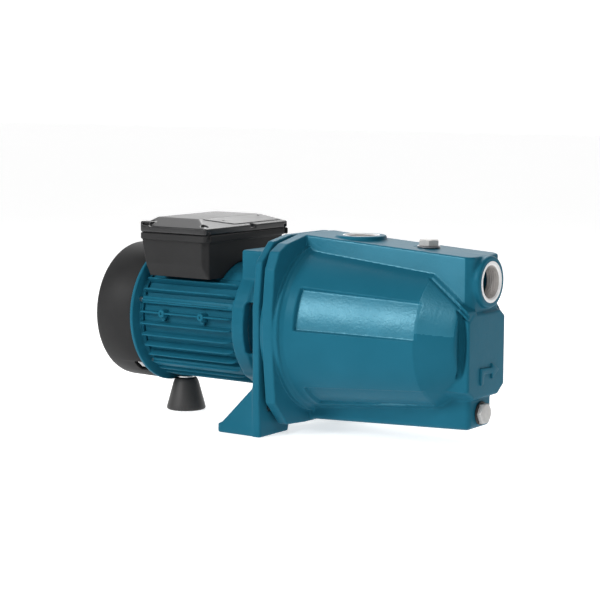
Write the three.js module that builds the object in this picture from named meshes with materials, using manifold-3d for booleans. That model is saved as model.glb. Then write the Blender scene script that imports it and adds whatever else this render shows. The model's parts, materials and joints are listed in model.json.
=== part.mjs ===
// Self-priming shallow well jet pump: a cast-iron wet end bolted to a small air-cooled motor.
// Millimetres, +Z up. Along X the model is laid out from the joint face between the pump body
// and the motor bracket (x = 0), with the inlet towards +X and the fan towards -X. The shaft
// lies on y = 0. The whole group is then moved so that the origin is the middle of its base.
import * as THREE from 'three';
import { mergeVertices } from 'three/addons/utils/BufferGeometryUtils.js';
import Module from 'manifold-3d';

const wasm = await Module();
wasm.setup();

// ---------------------------------------------------------------- driving dimensions
const AXIS_Z = 102;                 // height of the shaft above the floor
const GAP = 0.3;                    // clearance between touching pieces
const WALL = 6;                     // cast wall of the pump body

const INLET_FACE_X = 200;           // front end of the pump
const FAN_END_X = -224.4;           // rear end of the fan cover
const INLET_Z = 156.8;
const PORT_BORE_R = 15.2;           // minor radius of a G1 thread
const PORT_BOSS_R = 24.5;
const DELIVERY_X = 56.3;
const DELIVERY_TOP_Z = 193.4;
const PRIMING_X = 132;
const DRAIN_Z = 33;
const PLUG_THREAD_R = 6.2;
const PLUG_HOLE_R = 6.8;            // clears the thread's corners at every turn
const PLUG_HEX_R = 10.4;            // across the corners, halved
const PLUG_HEAD_H = 5.6;
const PLUG_THREAD_L = 8;
const WASHER_H = 1.6;

const FLANGE_T = 12;                // pump body flange
const RIM_R = 84;                   // round joint rim behind the flange
const JOINT_GAP = 4;                // the bracket plate stands this far behind the flange
const PLATE_T = 8;
const TOP_Z0 = 193.5;               // sloping top of the suction channel at x = 0
const TOP_SLOPE = 0.064;
const CHANNEL_HALF = 29;
const CONE_R0 = 82;                 // volute cone at the flange
const CONE_R1 = 68;                 // at the shoulder
const SHOULDER_X = 156;
const NOSE_R = 50;
const NOSE_X = 188;
const BLOCK_FACE_X = 196;           // middle front block
const BLOCK_HALF = 35;
const UPPER_FACE_X = 194;           // block behind the inlet boss
const UPPER_HALF = 25;
const SUMP_FACE_X = 190;            // lower front block with the drain
const SUMP_HALF = 21.5;
const SEPTUM_X = 166;               // wall between delivery chamber and suction well

const SPIGOT_R = 75.6;
const MOTOR_R = 57.5;               // motor tube
const MOTOR_BORE_R = 52;
const FIN_TIP_R = 65.7;
const FIN_COUNT = 34;
const MOTOR_FRONT_X = -52.3;
const MOTOR_REAR_X = -167.7;
const SHIELD_RIM_R = 71.8;
const SHIELD_X = -176;
const COVER_R = 70.6;
const COVER_T = 2.2;
const TIE_R = 60.5;                 // circle of the four tie bolts
const TIE_ANGLES = [17, 163, 230, 310];
const UPPER_RIB_HALF = 4.6;         // ribs that hold the tie bolts
const LOWER_RIB_HALF = 6.5;
const BRACKET_BACK_X = -52;
const HUB_WALL_X = -38;
const BOLT_SPOTS = [[59, 168], [-59, 168], [66, 28], [-66, 28]];

const FOOT_BACK_X = -56;
const FOOT_OUT = 83;
const FOOT_IN = 36;
const FOOT_H = 9;

const SHAFT_R = 7.9;
const BEARING_OUT_R = 20;
const BEARING_IN_R = 8.5;
const BEARING_W = 12;
const BALL_R = 3.1;
const BALL_CIRCLE_R = 14.2;
const BALL_COUNT = 8;
const FRONT_BEARING_X = -58;
const REAR_BEARING_X = -184;
const STACK_X0 = -150;
const STACK_X1 = -80;
const ROTOR_R = 28.4;
const STATOR_IN_R = 29;

const BOX_X0 = -161;
const BOX_X1 = -81;
const BOX_HALF = 68;
const BOX_RIM_Z = 188;
const GLAND_Y = 44;
const GLAND_Z = 174;
const LID_TOP_Z = 204;
const LID_SCREW_SPOTS = [[-155, 62], [-155, -62], [-87, 62], [-87, -62]];

const RUBBER_FOOT_X = -160;
const RUBBER_FOOT_H = 33;

// Sides of round shapes, from large outer ones down to small inner ones.
const FINE = 40;
const ROUND = 28;
const COARSE = 16;
const SMALL = 12;
const TINY = 10;

// ---------------------------------------------------------------- materials
const finish = (color, roughness, metalness) =>
  new THREE.MeshStandardMaterial({ color, roughness, metalness });
const PAINT = finish(0x1c6f8c, 0.38, 0.25);
const BLACK_PLASTIC = finish(0x1d1e20, 0.5, 0);
const WHITE_PLASTIC = finish(0xd8d8d2, 0.5, 0);
const RUBBER = finish(0x161616, 0.9, 0);
const ZINC = finish(0xb4b6b8, 0.35, 1);
const STEEL = finish(0x8d9196, 0.3, 1);
const LAMINATION = finish(0x5d6064, 0.5, 0.9);
const COPPER = finish(0xa8582c, 0.4, 0.9);
const BRASS = finish(0xb9923f, 0.35, 1);
const CERAMIC = finish(0xe9e6dc, 0.3, 0);
const FIBRE = finish(0x3a302a, 0.9, 0);

// ---------------------------------------------------------------- solids
function signedVolume(position, index) {
  const a = new THREE.Vector3();
  const b = new THREE.Vector3();
  const c = new THREE.Vector3();
  let volume = 0;
  for (let i = 0; i < index.length; i += 3) {
    a.fromBufferAttribute(position, index[i]);
    b.fromBufferAttribute(position, index[i + 1]);
    c.fromBufferAttribute(position, index[i + 2]);
    volume += a.dot(b.cross(c));
  }
  return volume;
}

// A closed three.js geometry as a solid that can be joined and cut.
function solid(geometry) {
  const shell = geometry.clone();
  shell.deleteAttribute('normal');
  shell.deleteAttribute('uv');
  const merged = mergeVertices(shell, 1e-4);
  const triangles = Uint32Array.from(merged.index.array);
  const kept = [];
  for (let i = 0; i < triangles.length; i += 3) {
    const [a, b, c] = triangles.slice(i, i + 3);
    if (a !== b && b !== c && c !== a) kept.push(a, b, c);
  }
  if (signedVolume(merged.attributes.position, kept) < 0) {
    for (let i = 0; i < kept.length; i += 3) [kept[i], kept[i + 1]] = [kept[i + 1], kept[i]];
  }
  return new wasm.Manifold(new wasm.Mesh({
    numProp: 3,
    vertProperties: Float32Array.from(merged.attributes.position.array),
    triVerts: Uint32Array.from(kept),
  }));
}

function toGeometry(body) {
  const mesh = body.getMesh();
  const geometry = new THREE.BufferGeometry();
  geometry.setAttribute('position', new THREE.BufferAttribute(Float32Array.from(mesh.vertProperties), 3));
  geometry.setIndex(new THREE.BufferAttribute(Uint32Array.from(mesh.triVerts), 1));
  const flat = geometry.toNonIndexed();
  flat.computeVertexNormals();
  return flat;
}

const outline = (points) => new THREE.Shape(points.map(([u, v]) => new THREE.Vector2(u, v)));
const extrude = (shape, depth) => new THREE.ExtrudeGeometry(shape, { depth, bevelEnabled: false, curveSegments: 8 });
const basis = (x, y, z) => new THREE.Matrix4().makeBasis(x, y, z);
const X = new THREE.Vector3(1, 0, 0);
const Y = new THREE.Vector3(0, 1, 0);
const Z = new THREE.Vector3(0, 0, 1);

// Outline in (y, z), from x0 to x1.
function prismX(points, x0, x1) {
  const geometry = extrude(outline(points), x1 - x0);
  geometry.applyMatrix4(basis(Y, Z, X));
  geometry.translate(x0, 0, 0);
  return solid(geometry);
}

// Outline in (x, z), from y0 to y1.
function prismY(points, y0, y1) {
  const geometry = extrude(outline(points), y1 - y0);
  geometry.applyMatrix4(basis(X, Z, Y.clone().negate()));
  geometry.translate(0, y1, 0);
  return solid(geometry);
}

// Outline in (x, y), from z0 to z1.
function prismZ(points, z0, z1) {
  const geometry = extrude(outline(points), z1 - z0);
  geometry.translate(0, 0, z0);
  return solid(geometry);
}

function box(x0, x1, y0, y1, z0, z1) {
  const geometry = new THREE.BoxGeometry(x1 - x0, y1 - y0, z1 - z0);
  geometry.translate((x0 + x1) / 2, (y0 + y1) / 2, (z0 + z1) / 2);
  return solid(geometry);
}

// Closed profile of [axial, radius] points, turned about a line along X or Z.
function turnX(profile, segments = 32, y = 0, z = AXIS_Z) {
  const points = profile.map(([x, r]) => new THREE.Vector2(r, x));
  points.push(points[0].clone());
  const geometry = new THREE.LatheGeometry(points, segments);
  geometry.rotateZ(-Math.PI / 2);
  geometry.translate(0, y, z);
  return solid(geometry);
}

function turnZ(profile, segments, x, y) {
  const points = profile.map(([z, r]) => new THREE.Vector2(r, z));
  points.push(points[0].clone());
  const geometry = new THREE.LatheGeometry(points, segments);
  geometry.rotateX(Math.PI / 2);
  geometry.translate(x, y, 0);
  return solid(geometry);
}

function rodX(x0, x1, r, segments = 24, y = 0, z = AXIS_Z) {
  const geometry = new THREE.CylinderGeometry(r, r, x1 - x0, segments);
  geometry.rotateZ(-Math.PI / 2);
  geometry.translate((x0 + x1) / 2, y, z);
  return solid(geometry);
}

function rodZ(z0, z1, r, segments, x, y) {
  const geometry = new THREE.CylinderGeometry(r, r, z1 - z0, segments);
  geometry.rotateX(Math.PI / 2);
  geometry.translate(x, y, (z0 + z1) / 2);
  return solid(geometry);
}

const ringX = (x0, x1, r0, r1, segments = 32) =>
  turnX([[x0, r0], [x0, r1], [x1, r1], [x1, r0]], segments);

// A solid turned about the shaft line.
function aboutShaft(body, degrees) {
  return body.translate([0, 0, -AXIS_Z]).rotate([degrees, 0, 0]).translate([0, 0, AXIS_Z]);
}

const mirrored = (half) => [...half, ...half.slice().reverse().map(([y, z]) => [-y, z])];

// ---------------------------------------------------------------- pump body
const topZ = (x) => TOP_Z0 - TOP_SLOPE * x;
const sumpZ = (x) => 10 + 0.047 * x;

function flangeOutline() {
  return mirrored([[27, 193], [60, 186.3], [74, 179.3], [82, 163], [86, 127], [86, 96],
    [84, 67], [80.5, 34], [59.5, 11], [30, 9]]);
}

function bodyShell() {
  const cone = turnX([[FLANGE_T - 6, 0], [FLANGE_T - 6, CONE_R0 + 2], [FLANGE_T, CONE_R0 + 2],
    [FLANGE_T + 4, CONE_R0 - 0.6], [SHOULDER_X, CONE_R1], [SHOULDER_X + 6, CONE_R1 - 4],
    [NOSE_X - 3, NOSE_R + 2], [NOSE_X, NOSE_R - 1], [NOSE_X, 0]], FINE);
  const channel = prismY([[6, AXIS_Z], [6, topZ(6)], [UPPER_FACE_X - 3, topZ(UPPER_FACE_X - 3)],
    [UPPER_FACE_X, topZ(UPPER_FACE_X) - 3], [UPPER_FACE_X, AXIS_Z]], -CHANNEL_HALF, CHANNEL_HALF);
  const cornerCuts = [-1, 1].map((side) => prismZ([[UPPER_FACE_X + 1, side * UPPER_HALF],
    [UPPER_FACE_X + 1, side * (CHANNEL_HALF + 1)], [UPPER_FACE_X - 5, side * (CHANNEL_HALF + 1)]],
    126, 200));
  const block = prismX(mirrored([[UPPER_HALF - 1, 128], [BLOCK_HALF, 122], [BLOCK_HALF, 57],
    [SUMP_HALF, 49]]), SEPTUM_X - 6, BLOCK_FACE_X);
  const sump = prismY([[4, 60], [4, sumpZ(4)], [SUMP_FACE_X - 6, sumpZ(SUMP_FACE_X)],
    [SUMP_FACE_X, sumpZ(SUMP_FACE_X) + 5], [SUMP_FACE_X, 60]], -SUMP_HALF, SUMP_HALF);
  let body = prismX(flangeOutline(), 0, FLANGE_T).add(rodX(-JOINT_GAP + GAP, 1, RIM_R, FINE));
  body = body.add(cone).add(channel).add(block).add(sump);
  for (const cut of cornerCuts) body = body.subtract(cut);
  body = body.add(rodX(UPPER_FACE_X - 20, INLET_FACE_X, PORT_BOSS_R, ROUND, 0, INLET_Z));
  body = body.add(rodZ(AXIS_Z + 60, DELIVERY_TOP_Z, PORT_BOSS_R, ROUND, DELIVERY_X, 0));
  for (const side of [-1, 1]) {
    body = body.add(box(186, 196.5, side > 0 ? 24 : -33, side > 0 ? 33 : -24, 126, 136));
  }
  return body;
}

function bodyHollow() {
  const chamber = turnX([[-5, 0], [-5, SPIGOT_R + 0.4], [10, SPIGOT_R + 0.4],
    [SHOULDER_X, CONE_R1 - WALL], [SEPTUM_X, CONE_R1 - WALL - 8], [SEPTUM_X, 0]], FINE);
  const reservoir = prismY([[8, AXIS_Z], [8, topZ(8) - 8], [158, topZ(158) - 8], [158, AXIS_Z]], -22, 22);
  const well = prismX([[-14, 84], [14, 84], [17, 88], [17, 168], [13, 173], [-13, 173], [-17, 168],
    [-17, 88]], SEPTUM_X + 6, UPPER_FACE_X - 6);
  return chamber.add(reservoir).add(well)
    .add(rodX(SEPTUM_X - 2, SEPTUM_X + 8, 13.3, COARSE))
    .add(rodX(UPPER_FACE_X - 10, INLET_FACE_X + 1, PORT_BORE_R, COARSE, 0, INLET_Z))
    .add(rodZ(AXIS_Z + 60, DELIVERY_TOP_Z + 1, PORT_BORE_R, COARSE, DELIVERY_X, 0))
    .add(rodZ(AXIS_Z + 60, 200, PLUG_HOLE_R, TINY, PRIMING_X, 0))
    .add(rodX(150, SUMP_FACE_X + 1, PLUG_HOLE_R, TINY, 0, DRAIN_Z))
    .add(box(140, 156, -8, 8, DRAIN_Z - 6, AXIS_Z - 40));
}

function pumpBody() {
  let body = bodyShell().subtract(bodyHollow());
  const plugSeat = rodZ(topZ(PRIMING_X), 210, 14, COARSE, PRIMING_X, 0);
  body = body.subtract(plugSeat);
  for (const [y, z] of BOLT_SPOTS) body = body.subtract(rodX(-1, FLANGE_T - 3, 4.3, 12, y, z));
  return body;
}

// Threaded plug with a hexagon head: axial profile of [distance, radius] from the seat.
function plugSolid(turn, hexagon) {
  return turn([[-PLUG_THREAD_L, 0], [-PLUG_THREAD_L, PLUG_THREAD_R - 1], [-PLUG_THREAD_L + 1, PLUG_THREAD_R],
    [WASHER_H + 1, PLUG_THREAD_R], [WASHER_H + 1, 0]]).add(hexagon);
}

function primingPlug() {
  const seat = topZ(PRIMING_X) + GAP;
  const base = seat + WASHER_H + GAP;
  const head = rodZ(base, base + PLUG_HEAD_H, PLUG_HEX_R, 6, PRIMING_X, 0);
  return plugSolid((profile) => turnZ(profile.map(([d, r]) => [seat + d, r]), TINY, PRIMING_X, 0), head);
}

function drainPlug() {
  const seat = SUMP_FACE_X + GAP;
  const base = seat + WASHER_H + GAP;
  const head = rodX(base, base + PLUG_HEAD_H - 1, PLUG_HEX_R, 6, 0, DRAIN_Z);
  return plugSolid((profile) => turnX(profile.map(([d, r]) => [seat + d, r]), TINY, 0, DRAIN_Z), head);
}

const washerProfile = (seat) => [[seat, PLUG_THREAD_R + GAP], [seat, PLUG_HEX_R + 0.6],
  [seat + WASHER_H, PLUG_HEX_R + 0.6], [seat + WASHER_H, PLUG_THREAD_R + GAP]];

// ---------------------------------------------------------------- bracket
function plateOutline() {
  return mirrored([[32, 192.5], [60, 187.5], [80, 169], [85.5, 125], [85.2, 32], [FOOT_OUT, 0],
    [FOOT_IN, 0], [32, 14], [18, 22]]);
}

function bracketFoot(side) {
  const span = (inner, outer) => (side > 0 ? [inner, outer] : [-outer, -inner]);
  const pad = box(FOOT_BACK_X, -JOINT_GAP - 1, ...span(FOOT_IN, FOOT_OUT), 0, FOOT_H);
  const web = (inner, outer) => prismY([[-JOINT_GAP - PLATE_T + 2, 50], [FOOT_BACK_X, FOOT_H],
    [FOOT_BACK_X, FOOT_H - 2], [-JOINT_GAP - PLATE_T + 2, FOOT_H - 2]], ...span(inner, outer));
  const slot = rodZ(-1, FOOT_H + 1, 5, 16, -38, side * 58)
    .add(box(-38, -30, side * 58 - 5, side * 58 + 5, -1, FOOT_H + 1))
    .add(rodZ(-1, FOOT_H + 1, 5, 16, -30, side * 58));
  return pad.add(web(FOOT_OUT - 8, FOOT_OUT)).add(web(FOOT_IN, FOOT_IN + 6)).subtract(slot);
}

function motorBracket() {
  const back = -JOINT_GAP - PLATE_T;
  const neck = turnX([[BRACKET_BACK_X, 46], [BRACKET_BACK_X, 66.3], [HUB_WALL_X + 3, 66.3],
    [back - 6, 64], [back + 2, 68], [back + 2, 46]], ROUND);
  const shelf = box(BRACKET_BACK_X, back + 2, -48, 48, 128, 176);
  const inside = rodX(HUB_WALL_X, back - GAP, 57, ROUND);
  const window = box(HUB_WALL_X + 4, back - 1, -90, 90, AXIS_Z - 24, AXIS_Z + 22);
  const motorSide = rodX(BRACKET_BACK_X - 1, HUB_WALL_X - 8, 52, ROUND);
  let body = prismX(plateOutline(), back, -JOINT_GAP).add(neck).add(shelf);
  body = body.subtract(inside).subtract(motorSide);
  body = body.subtract(window.subtract(rodX(-60, 0, 40, 24)));
  body = body.add(rodX(HUB_WALL_X - 8, HUB_WALL_X, 60, ROUND));
  body = body.add(ringX(BRACKET_BACK_X - 4, HUB_WALL_X - 7, 47, MOTOR_BORE_R - GAP, ROUND));
  body = body.add(rodX(-60, HUB_WALL_X, 27, COARSE));
  body = body.add(rodX(-JOINT_GAP - 1, 2.7, SPIGOT_R, FINE)).add(rodX(back - 6, back + 1, 23, COARSE));
  for (const side of [-1, 1]) body = body.add(bracketFoot(side));
  for (const angle of TIE_ANGLES) {
    body = body.add(aboutShaft(rodX(BRACKET_BACK_X, HUB_WALL_X, 8, 12, 0, AXIS_Z + TIE_R - 2), angle - 90));
  }
  body = body.subtract(rodX(-61, HUB_WALL_X - 6, BEARING_OUT_R + GAP, COARSE));
  body = body.subtract(rodX(-45, HUB_WALL_X + 1, 12, SMALL)).subtract(rodX(back - 7, 3, 10, SMALL));
  body = body.subtract(rodX(back, 3, 16, COARSE)).subtract(rodX(-JOINT_GAP, 3, 18, COARSE));
  body = body.subtract(ringX(-1.8, 1.9, SPIGOT_R - 3.4, SPIGOT_R + 1, FINE));
  for (const [y, z] of BOLT_SPOTS) body = body.subtract(rodX(back - 1, 0, 4.4, 12, y, z));
  for (const angle of TIE_ANGLES) {
    body = body.subtract(aboutShaft(rodX(-60, HUB_WALL_X - 3, 2.8, 12, 0, AXIS_Z + TIE_R), angle - 90));
  }
  return body;
}

function flangeBolt(y, z) {
  const back = -JOINT_GAP - PLATE_T - GAP;
  return rodX(back - 1, FLANGE_T - 4, 4, 12, y, z).add(rodX(back - 5.5, back, 7.5, 6, y, z));
}

// ---------------------------------------------------------------- wet end internals
function impeller() {
  let wheel = turnX([[4.9, 8.3], [4.9, 13], [6.5, 14], [6.5, 55], [9, 55], [12, 15], [21.9, 11],
    [21.9, 8.3]], COARSE);
  wheel = wheel.add(turnX([[17, 18], [15, 54.9], [17.5, 54.9], [19.5, 19.4], [23.5, 18.6], [23.5, 16.4],
    [19, 16.4]], COARSE));
  for (let i = 0; i < 6; i += 1) {
    const blade = [];
    for (let step = 0; step <= 3; step += 1) {
      const r = 16.6 + (54 - 16.6) * step / 3;
      const turn = -1.1 * step / 3;
      blade.push([r * Math.cos(turn), r * Math.sin(turn)]);
    }
    for (let step = 3; step >= 0; step -= 1) {
      const r = 16.6 + (54 - 16.6) * step / 3;
      const turn = -1.1 * step / 3 + 2.4 / r;
      blade.push([r * Math.cos(turn), r * Math.sin(turn)]);
    }
    const centred = blade.map(([y, z]) => [y, z + AXIS_Z]);
    wheel = wheel.add(aboutShaft(prismX(centred, 8, 16), i * 60));
  }
  return wheel.subtract(box(7, 20, -2.2, 2.2, AXIS_Z, AXIS_Z + 10.6));
}

function diffuser() {
  let cup = turnX([[3.2, 60], [3.2, 66], [28, 66], [28, 20], [46, 20], [46, 16], [24.5, 16],
    [24.5, 60]], COARSE);
  for (let i = 0; i < 6; i += 1) {
    cup = cup.subtract(aboutShaft(rodX(20, 30, 4.5, 8, 0, AXIS_Z + 53), i * 60 + 30));
    cup = cup.add(aboutShaft(box(27, 36, -1.2, 1.2, AXIS_Z + 19, AXIS_Z + 47), i * 60));
  }
  return cup;
}

const venturiTube = () => turnX([[30, 12], [30, 15.7], [48, 15.7], [54, 13.5], [140, 12.5], [148, 20],
  [157, 20], [157, 11], [146, 6.6], [128, 6.6]], SMALL);

const ejectorNozzle = () => turnX([[149, 3], [149, 5], [158.5, 9], [160, 16.5], [165.4, 16.5],
  [165.4, 13], [176, 13], [176, 8], [163, 7.5]], SMALL);

const ejectorSeal = () => turnX([[176.3, 13.4], [176.3, 16.4], [178.6, 16.4], [178.6, 13.4]], SMALL)
  .translate([-4, 0, 0]);

// ---------------------------------------------------------------- motor
function motorHousing() {
  const outer = [];
  const pitch = 2 * Math.PI / FIN_COUNT;
  const offset = 0.09;
  for (let i = 0; i < FIN_COUNT; i += 1) {
    const middle = Math.PI + offset - i * pitch;
    const corners = [[-1.3 / 57, MOTOR_R], [-0.85 / 65, FIN_TIP_R], [0.85 / 65, FIN_TIP_R], [1.3 / 57, MOTOR_R]];
    for (const [turn, r] of corners) {
      outer.push([r * Math.cos(middle - turn), AXIS_Z + r * Math.sin(middle - turn)]);
    }
  }
  let body = prismX(outer, MOTOR_REAR_X, -62);
  const underBox = box(BOX_X1 - 3.6, -61, -49, 49, AXIS_Z + 42, AXIS_Z + 75);
  body = body.subtract(underBox.subtract(rodX(-90, -60, MOTOR_R + 0.1, ROUND)));
  for (const angle of TIE_ANGLES) {
    const half = angle < 180 ? UPPER_RIB_HALF : LOWER_RIB_HALF;
    const rib = box(MOTOR_REAR_X, -53, -half, half, AXIS_Z + 50, AXIS_Z + FIN_TIP_R - 0.4);
    body = body.add(aboutShaft(rib, angle - 90));
  }
  body = body.add(rodX(-62.5, MOTOR_FRONT_X, 62, ROUND));
  body = body.add(box(-140, -104, -17, 17, AXIS_Z + 52, AXIS_Z + 63.4));
  body = body.add(rodZ(RUBBER_FOOT_H + 2.4, 50, 7.4, SMALL, RUBBER_FOOT_X, 0));
  body = body.subtract(rodX(MOTOR_REAR_X - 1, MOTOR_FRONT_X + 1, MOTOR_BORE_R, ROUND));
  body = body.subtract(rodZ(20, 47, 3.3, 12, RUBBER_FOOT_X, 0));
  body = body.subtract(box(-131, -113, -8, 8, AXIS_Z + 40, AXIS_Z + 70));
  for (const angle of TIE_ANGLES) {
    body = body.subtract(aboutShaft(rodX(-170, -50, 2.8, 12, 0, AXIS_Z + TIE_R), angle - 90));
  }
  return body;
}

function tieBolt(angle) {
  const rod = rodX(SHIELD_X - GAP - 1, HUB_WALL_X - 4, 2.5, 12, 0, AXIS_Z + TIE_R);
  const head = rodX(SHIELD_X - GAP - 4, SHIELD_X - GAP, 4.6, 6, 0, AXIS_Z + TIE_R);
  return aboutShaft(rod.add(head), angle - 90);
}

function rearEndShield() {
  let body = turnX([[SHIELD_X, 24], [SHIELD_X, SHIELD_RIM_R], [SHIELD_X + 3, SHIELD_RIM_R],
    [SHIELD_X + 3, 66], [MOTOR_REAR_X - GAP, 66], [MOTOR_REAR_X - GAP, MOTOR_BORE_R - GAP],
    [MOTOR_REAR_X + 4, MOTOR_BORE_R - GAP], [MOTOR_REAR_X + 4, 46], [SHIELD_X + 5, 46], [SHIELD_X + 5, 24]], ROUND);
  body = body.add(turnX([[REAR_BEARING_X - 3, 10], [REAR_BEARING_X - 3, 25], [SHIELD_X + 5, 27],
    [SHIELD_X + 5, BEARING_OUT_R + GAP], [REAR_BEARING_X, BEARING_OUT_R + GAP], [REAR_BEARING_X, 10]], COARSE));
  for (const angle of TIE_ANGLES) {
    body = body.subtract(aboutShaft(rodX(-190, -160, 2.8, 12, 0, AXIS_Z + TIE_R), angle - 90));
  }
  return body;
}

function fanCover() {
  const front = SHIELD_X - GAP;
  const back = FAN_END_X;
  let body = turnX([[front, COVER_R - COVER_T], [front, COVER_R], [back + 5, COVER_R - 0.6],
    [back + 1.2, COVER_R - 2.2], [back, COVER_R - 6], [back, 0], [back + COVER_T, 0],
    [back + COVER_T, COVER_R - 6.5], [back + 5, COVER_R - 0.6 - COVER_T]], ROUND);
  for (let i = 0; i < 20; i += 1) {
    body = body.subtract(aboutShaft(box(back - 1, back + 4, -2.4, 2.4, AXIS_Z + 20, AXIS_Z + 60), i * 18));
  }
  for (const side of [-1, 1]) {
    const notch = box(front - 12, front + 1, -8, 8, AXIS_Z + 62, AXIS_Z + 80);
    body = body.subtract(aboutShaft(notch, side * 140));
  }
  return body;
}

function coolingFan() {
  let fan = turnX([[-214, 6.8], [-214, 13], [-203, 15], [-200, 40], [-198, 40], [-198, 6.8]], SMALL);
  for (let i = 0; i < 8; i += 1) {
    fan = fan.add(aboutShaft(box(-214, -199, -1, 1, AXIS_Z + 12, AXIS_Z + 61), i * 45));
  }
  return fan;
}

const motorShaft = () => turnX([[-212, 0], [-212, 6.5], [-188, 6.5], [-188, 8.2], [-165, 8.2],
  [-165, 10], [-62, 10], [-62, 8.2], [-40, 8.2], [-40, SHAFT_R], [22.2, SHAFT_R], [22.2, 4.9], [30, 4.9],
  [30, 0]], SMALL).subtract(box(8, 19, -2.2, 2.2, AXIS_Z + 5.4, AXIS_Z + 12));

const statorCore = () => ringX(STACK_X0, STACK_X1, STATOR_IN_R, MOTOR_BORE_R - GAP, ROUND);
const rotorCore = () => turnX([[STACK_X0 - 6, 18], [STACK_X0 - 6, 26], [STACK_X0, ROTOR_R],
  [STACK_X1, ROTOR_R], [STACK_X1 + 6, 26], [STACK_X1 + 6, 18], [STACK_X1, 10.3], [STACK_X0, 10.3]], SMALL);

function winding(x0, x1) {
  return turnX([[x0, 34], [x0, 46], [x0 + 4, 49], [x1 - 4, 49], [x1, 46], [x1, 34], [x1 - 3, 31.5],
    [x0 + 3, 31.5]], SMALL);
}

function bearingRace(x0, inner) {
  const groove = BALL_R + GAP;
  const middle = x0 + BEARING_W / 2;
  const [base, lip] = inner ? [BEARING_IN_R, BALL_CIRCLE_R - 1.6] : [BEARING_OUT_R, BALL_CIRCLE_R + 1.6];
  const away = inner ? -1 : 1;
  const profile = [[x0, base], [x0, lip]];
  for (const turn of [-50, 0, 50]) {
    const angle = turn * Math.PI / 180;
    profile.push([middle + groove * Math.sin(angle), BALL_CIRCLE_R + away * groove * Math.cos(angle)]);
  }
  profile.push([x0 + BEARING_W, lip], [x0 + BEARING_W, base]);
  return turnX(profile, COARSE);
}

function ballCage(x0) {
  const middle = x0 + BEARING_W / 2;
  let cage = ringX(middle - 1.3, middle + 1.3, BALL_CIRCLE_R - 0.8, BALL_CIRCLE_R + 0.8, SMALL);
  for (let i = 0; i < BALL_COUNT; i += 1) {
    const ball = new THREE.SphereGeometry(BALL_R - 0.6, 6, 4);
    ball.translate(middle, 0, AXIS_Z + BALL_CIRCLE_R);
    cage = cage.add(aboutShaft(solid(ball), i * 360 / BALL_COUNT));
  }
  return cage;
}

// ---------------------------------------------------------------- terminal box
function boxWall(inset, floorR, top) {
  const half = BOX_HALF - inset;
  const low = 147;
  const points = [[half, top], [half, 161], [54 - inset, low + inset * 0.4]];
  const foot = Math.acos(Math.min(1, (50 - inset) / floorR));
  for (let step = 0; step <= 6; step += 1) {
    const angle = foot + (Math.PI / 2 - foot) * step / 6;
    points.push([floorR * Math.cos(angle), AXIS_Z + floorR * Math.sin(angle)]);
  }
  points.pop();
  return mirrored(points);
}

// What the sloping rear wall leaves away, for a wall face that lies inset inside the outer one.
const rearDraft = (inset) => prismY([[BOX_X0 - 1, 183], [BOX_X0 + inset, 183], [BOX_X0 + 9 + inset, 158],
  [BOX_X0 + 10.5 + inset, 140], [BOX_X0 - 1, 140]], -80, 80);

// The lower front wall of the box, which reaches down to the motor tube.
function boxSaddle() {
  const r = MOTOR_R + 0.9;
  const low = 147;
  const points = [[BOX_HALF, 170], [BOX_HALF, 161], [54, low]];
  const foot = Math.asin((low - AXIS_Z) / r);
  for (let step = 0; step < 6; step += 1) {
    const angle = foot + (Math.PI / 2 - foot) * step / 6;
    points.push([r * Math.cos(angle), AXIS_Z + r * Math.sin(angle)]);
  }
  return prismX(mirrored(points), BOX_X1 - 3, BOX_X1);
}

function terminalBoxBase() {
  const hollow = prismX(boxWall(2.5, FIN_TIP_R + 3.4, BOX_RIM_Z + 1), BOX_X0 + 2.5, BOX_X1 - 2.5);
  let body = prismX(boxWall(0, FIN_TIP_R + 0.9, BOX_RIM_Z), BOX_X0, BOX_X1);
  body = body.subtract(hollow.subtract(rearDraft(2.5))).add(boxSaddle());
  for (const [x, y] of LID_SCREW_SPOTS) body = body.add(rodZ(174, BOX_RIM_Z, 4.5, 8, x, y));
  for (const [x, y] of LID_SCREW_SPOTS) body = body.subtract(rodZ(176, BOX_RIM_Z + 1, 2, 6, x, y));
  body = body.subtract(rearDraft(0)).add(rodX(BOX_X0, BOX_X0 + 8, 11.6, COARSE, GLAND_Y, GLAND_Z));
  body = body.subtract(rodX(BOX_X0 - 1, BOX_X0 + 9, 8.3, TINY, GLAND_Y, GLAND_Z));
  return body.subtract(box(-130, -114, -7, 7, 160, 175));
}

function boxGasket() {
  const ring = box(BOX_X0 + 0.6, BOX_X1 - 0.6, 0.6 - BOX_HALF, BOX_HALF - 0.6, BOX_RIM_Z + GAP, BOX_RIM_Z + 1.7);
  let gasket = ring.subtract(box(BOX_X0 + 11, BOX_X1 - 11, 11 - BOX_HALF, BOX_HALF - 11, 180, 200));
  for (const [x, y] of LID_SCREW_SPOTS) gasket = gasket.subtract(rodZ(180, 195, 2.4, 8, x, y));
  return gasket;
}

// A roof with sloping sides from the rim up to a flat top.
function lidForm(inset, z0, z1, z2) {
  const x0 = BOX_X0 - 1.5 + inset;
  const x1 = BOX_X1 + 1.5 - inset;
  const half = BOX_HALF + 2.5 - inset;
  const rows = [[x0, x1, half, z0], [x0, x1, half, z1], [x0 + 11, x1 - 11, half - 13, z2]];
  const ends = rows.map(([a, b, h, z]) => [[a, -h, z], [b, -h, z], [b, h, z], [a, h, z]]).flat();
  const index = [0, 2, 1, 0, 3, 2, 8, 9, 10, 8, 10, 11];
  for (const base of [0, 4]) {
    for (let i = 0; i < 4; i += 1) {
      const j = (i + 1) % 4;
      index.push(base + i, base + j, base + 4 + j, base + i, base + 4 + j, base + 4 + i);
    }
  }
  const geometry = new THREE.BufferGeometry();
  geometry.setAttribute('position', new THREE.BufferAttribute(Float32Array.from(ends.flat()), 3));
  geometry.setIndex(index);
  return solid(geometry);
}

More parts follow.
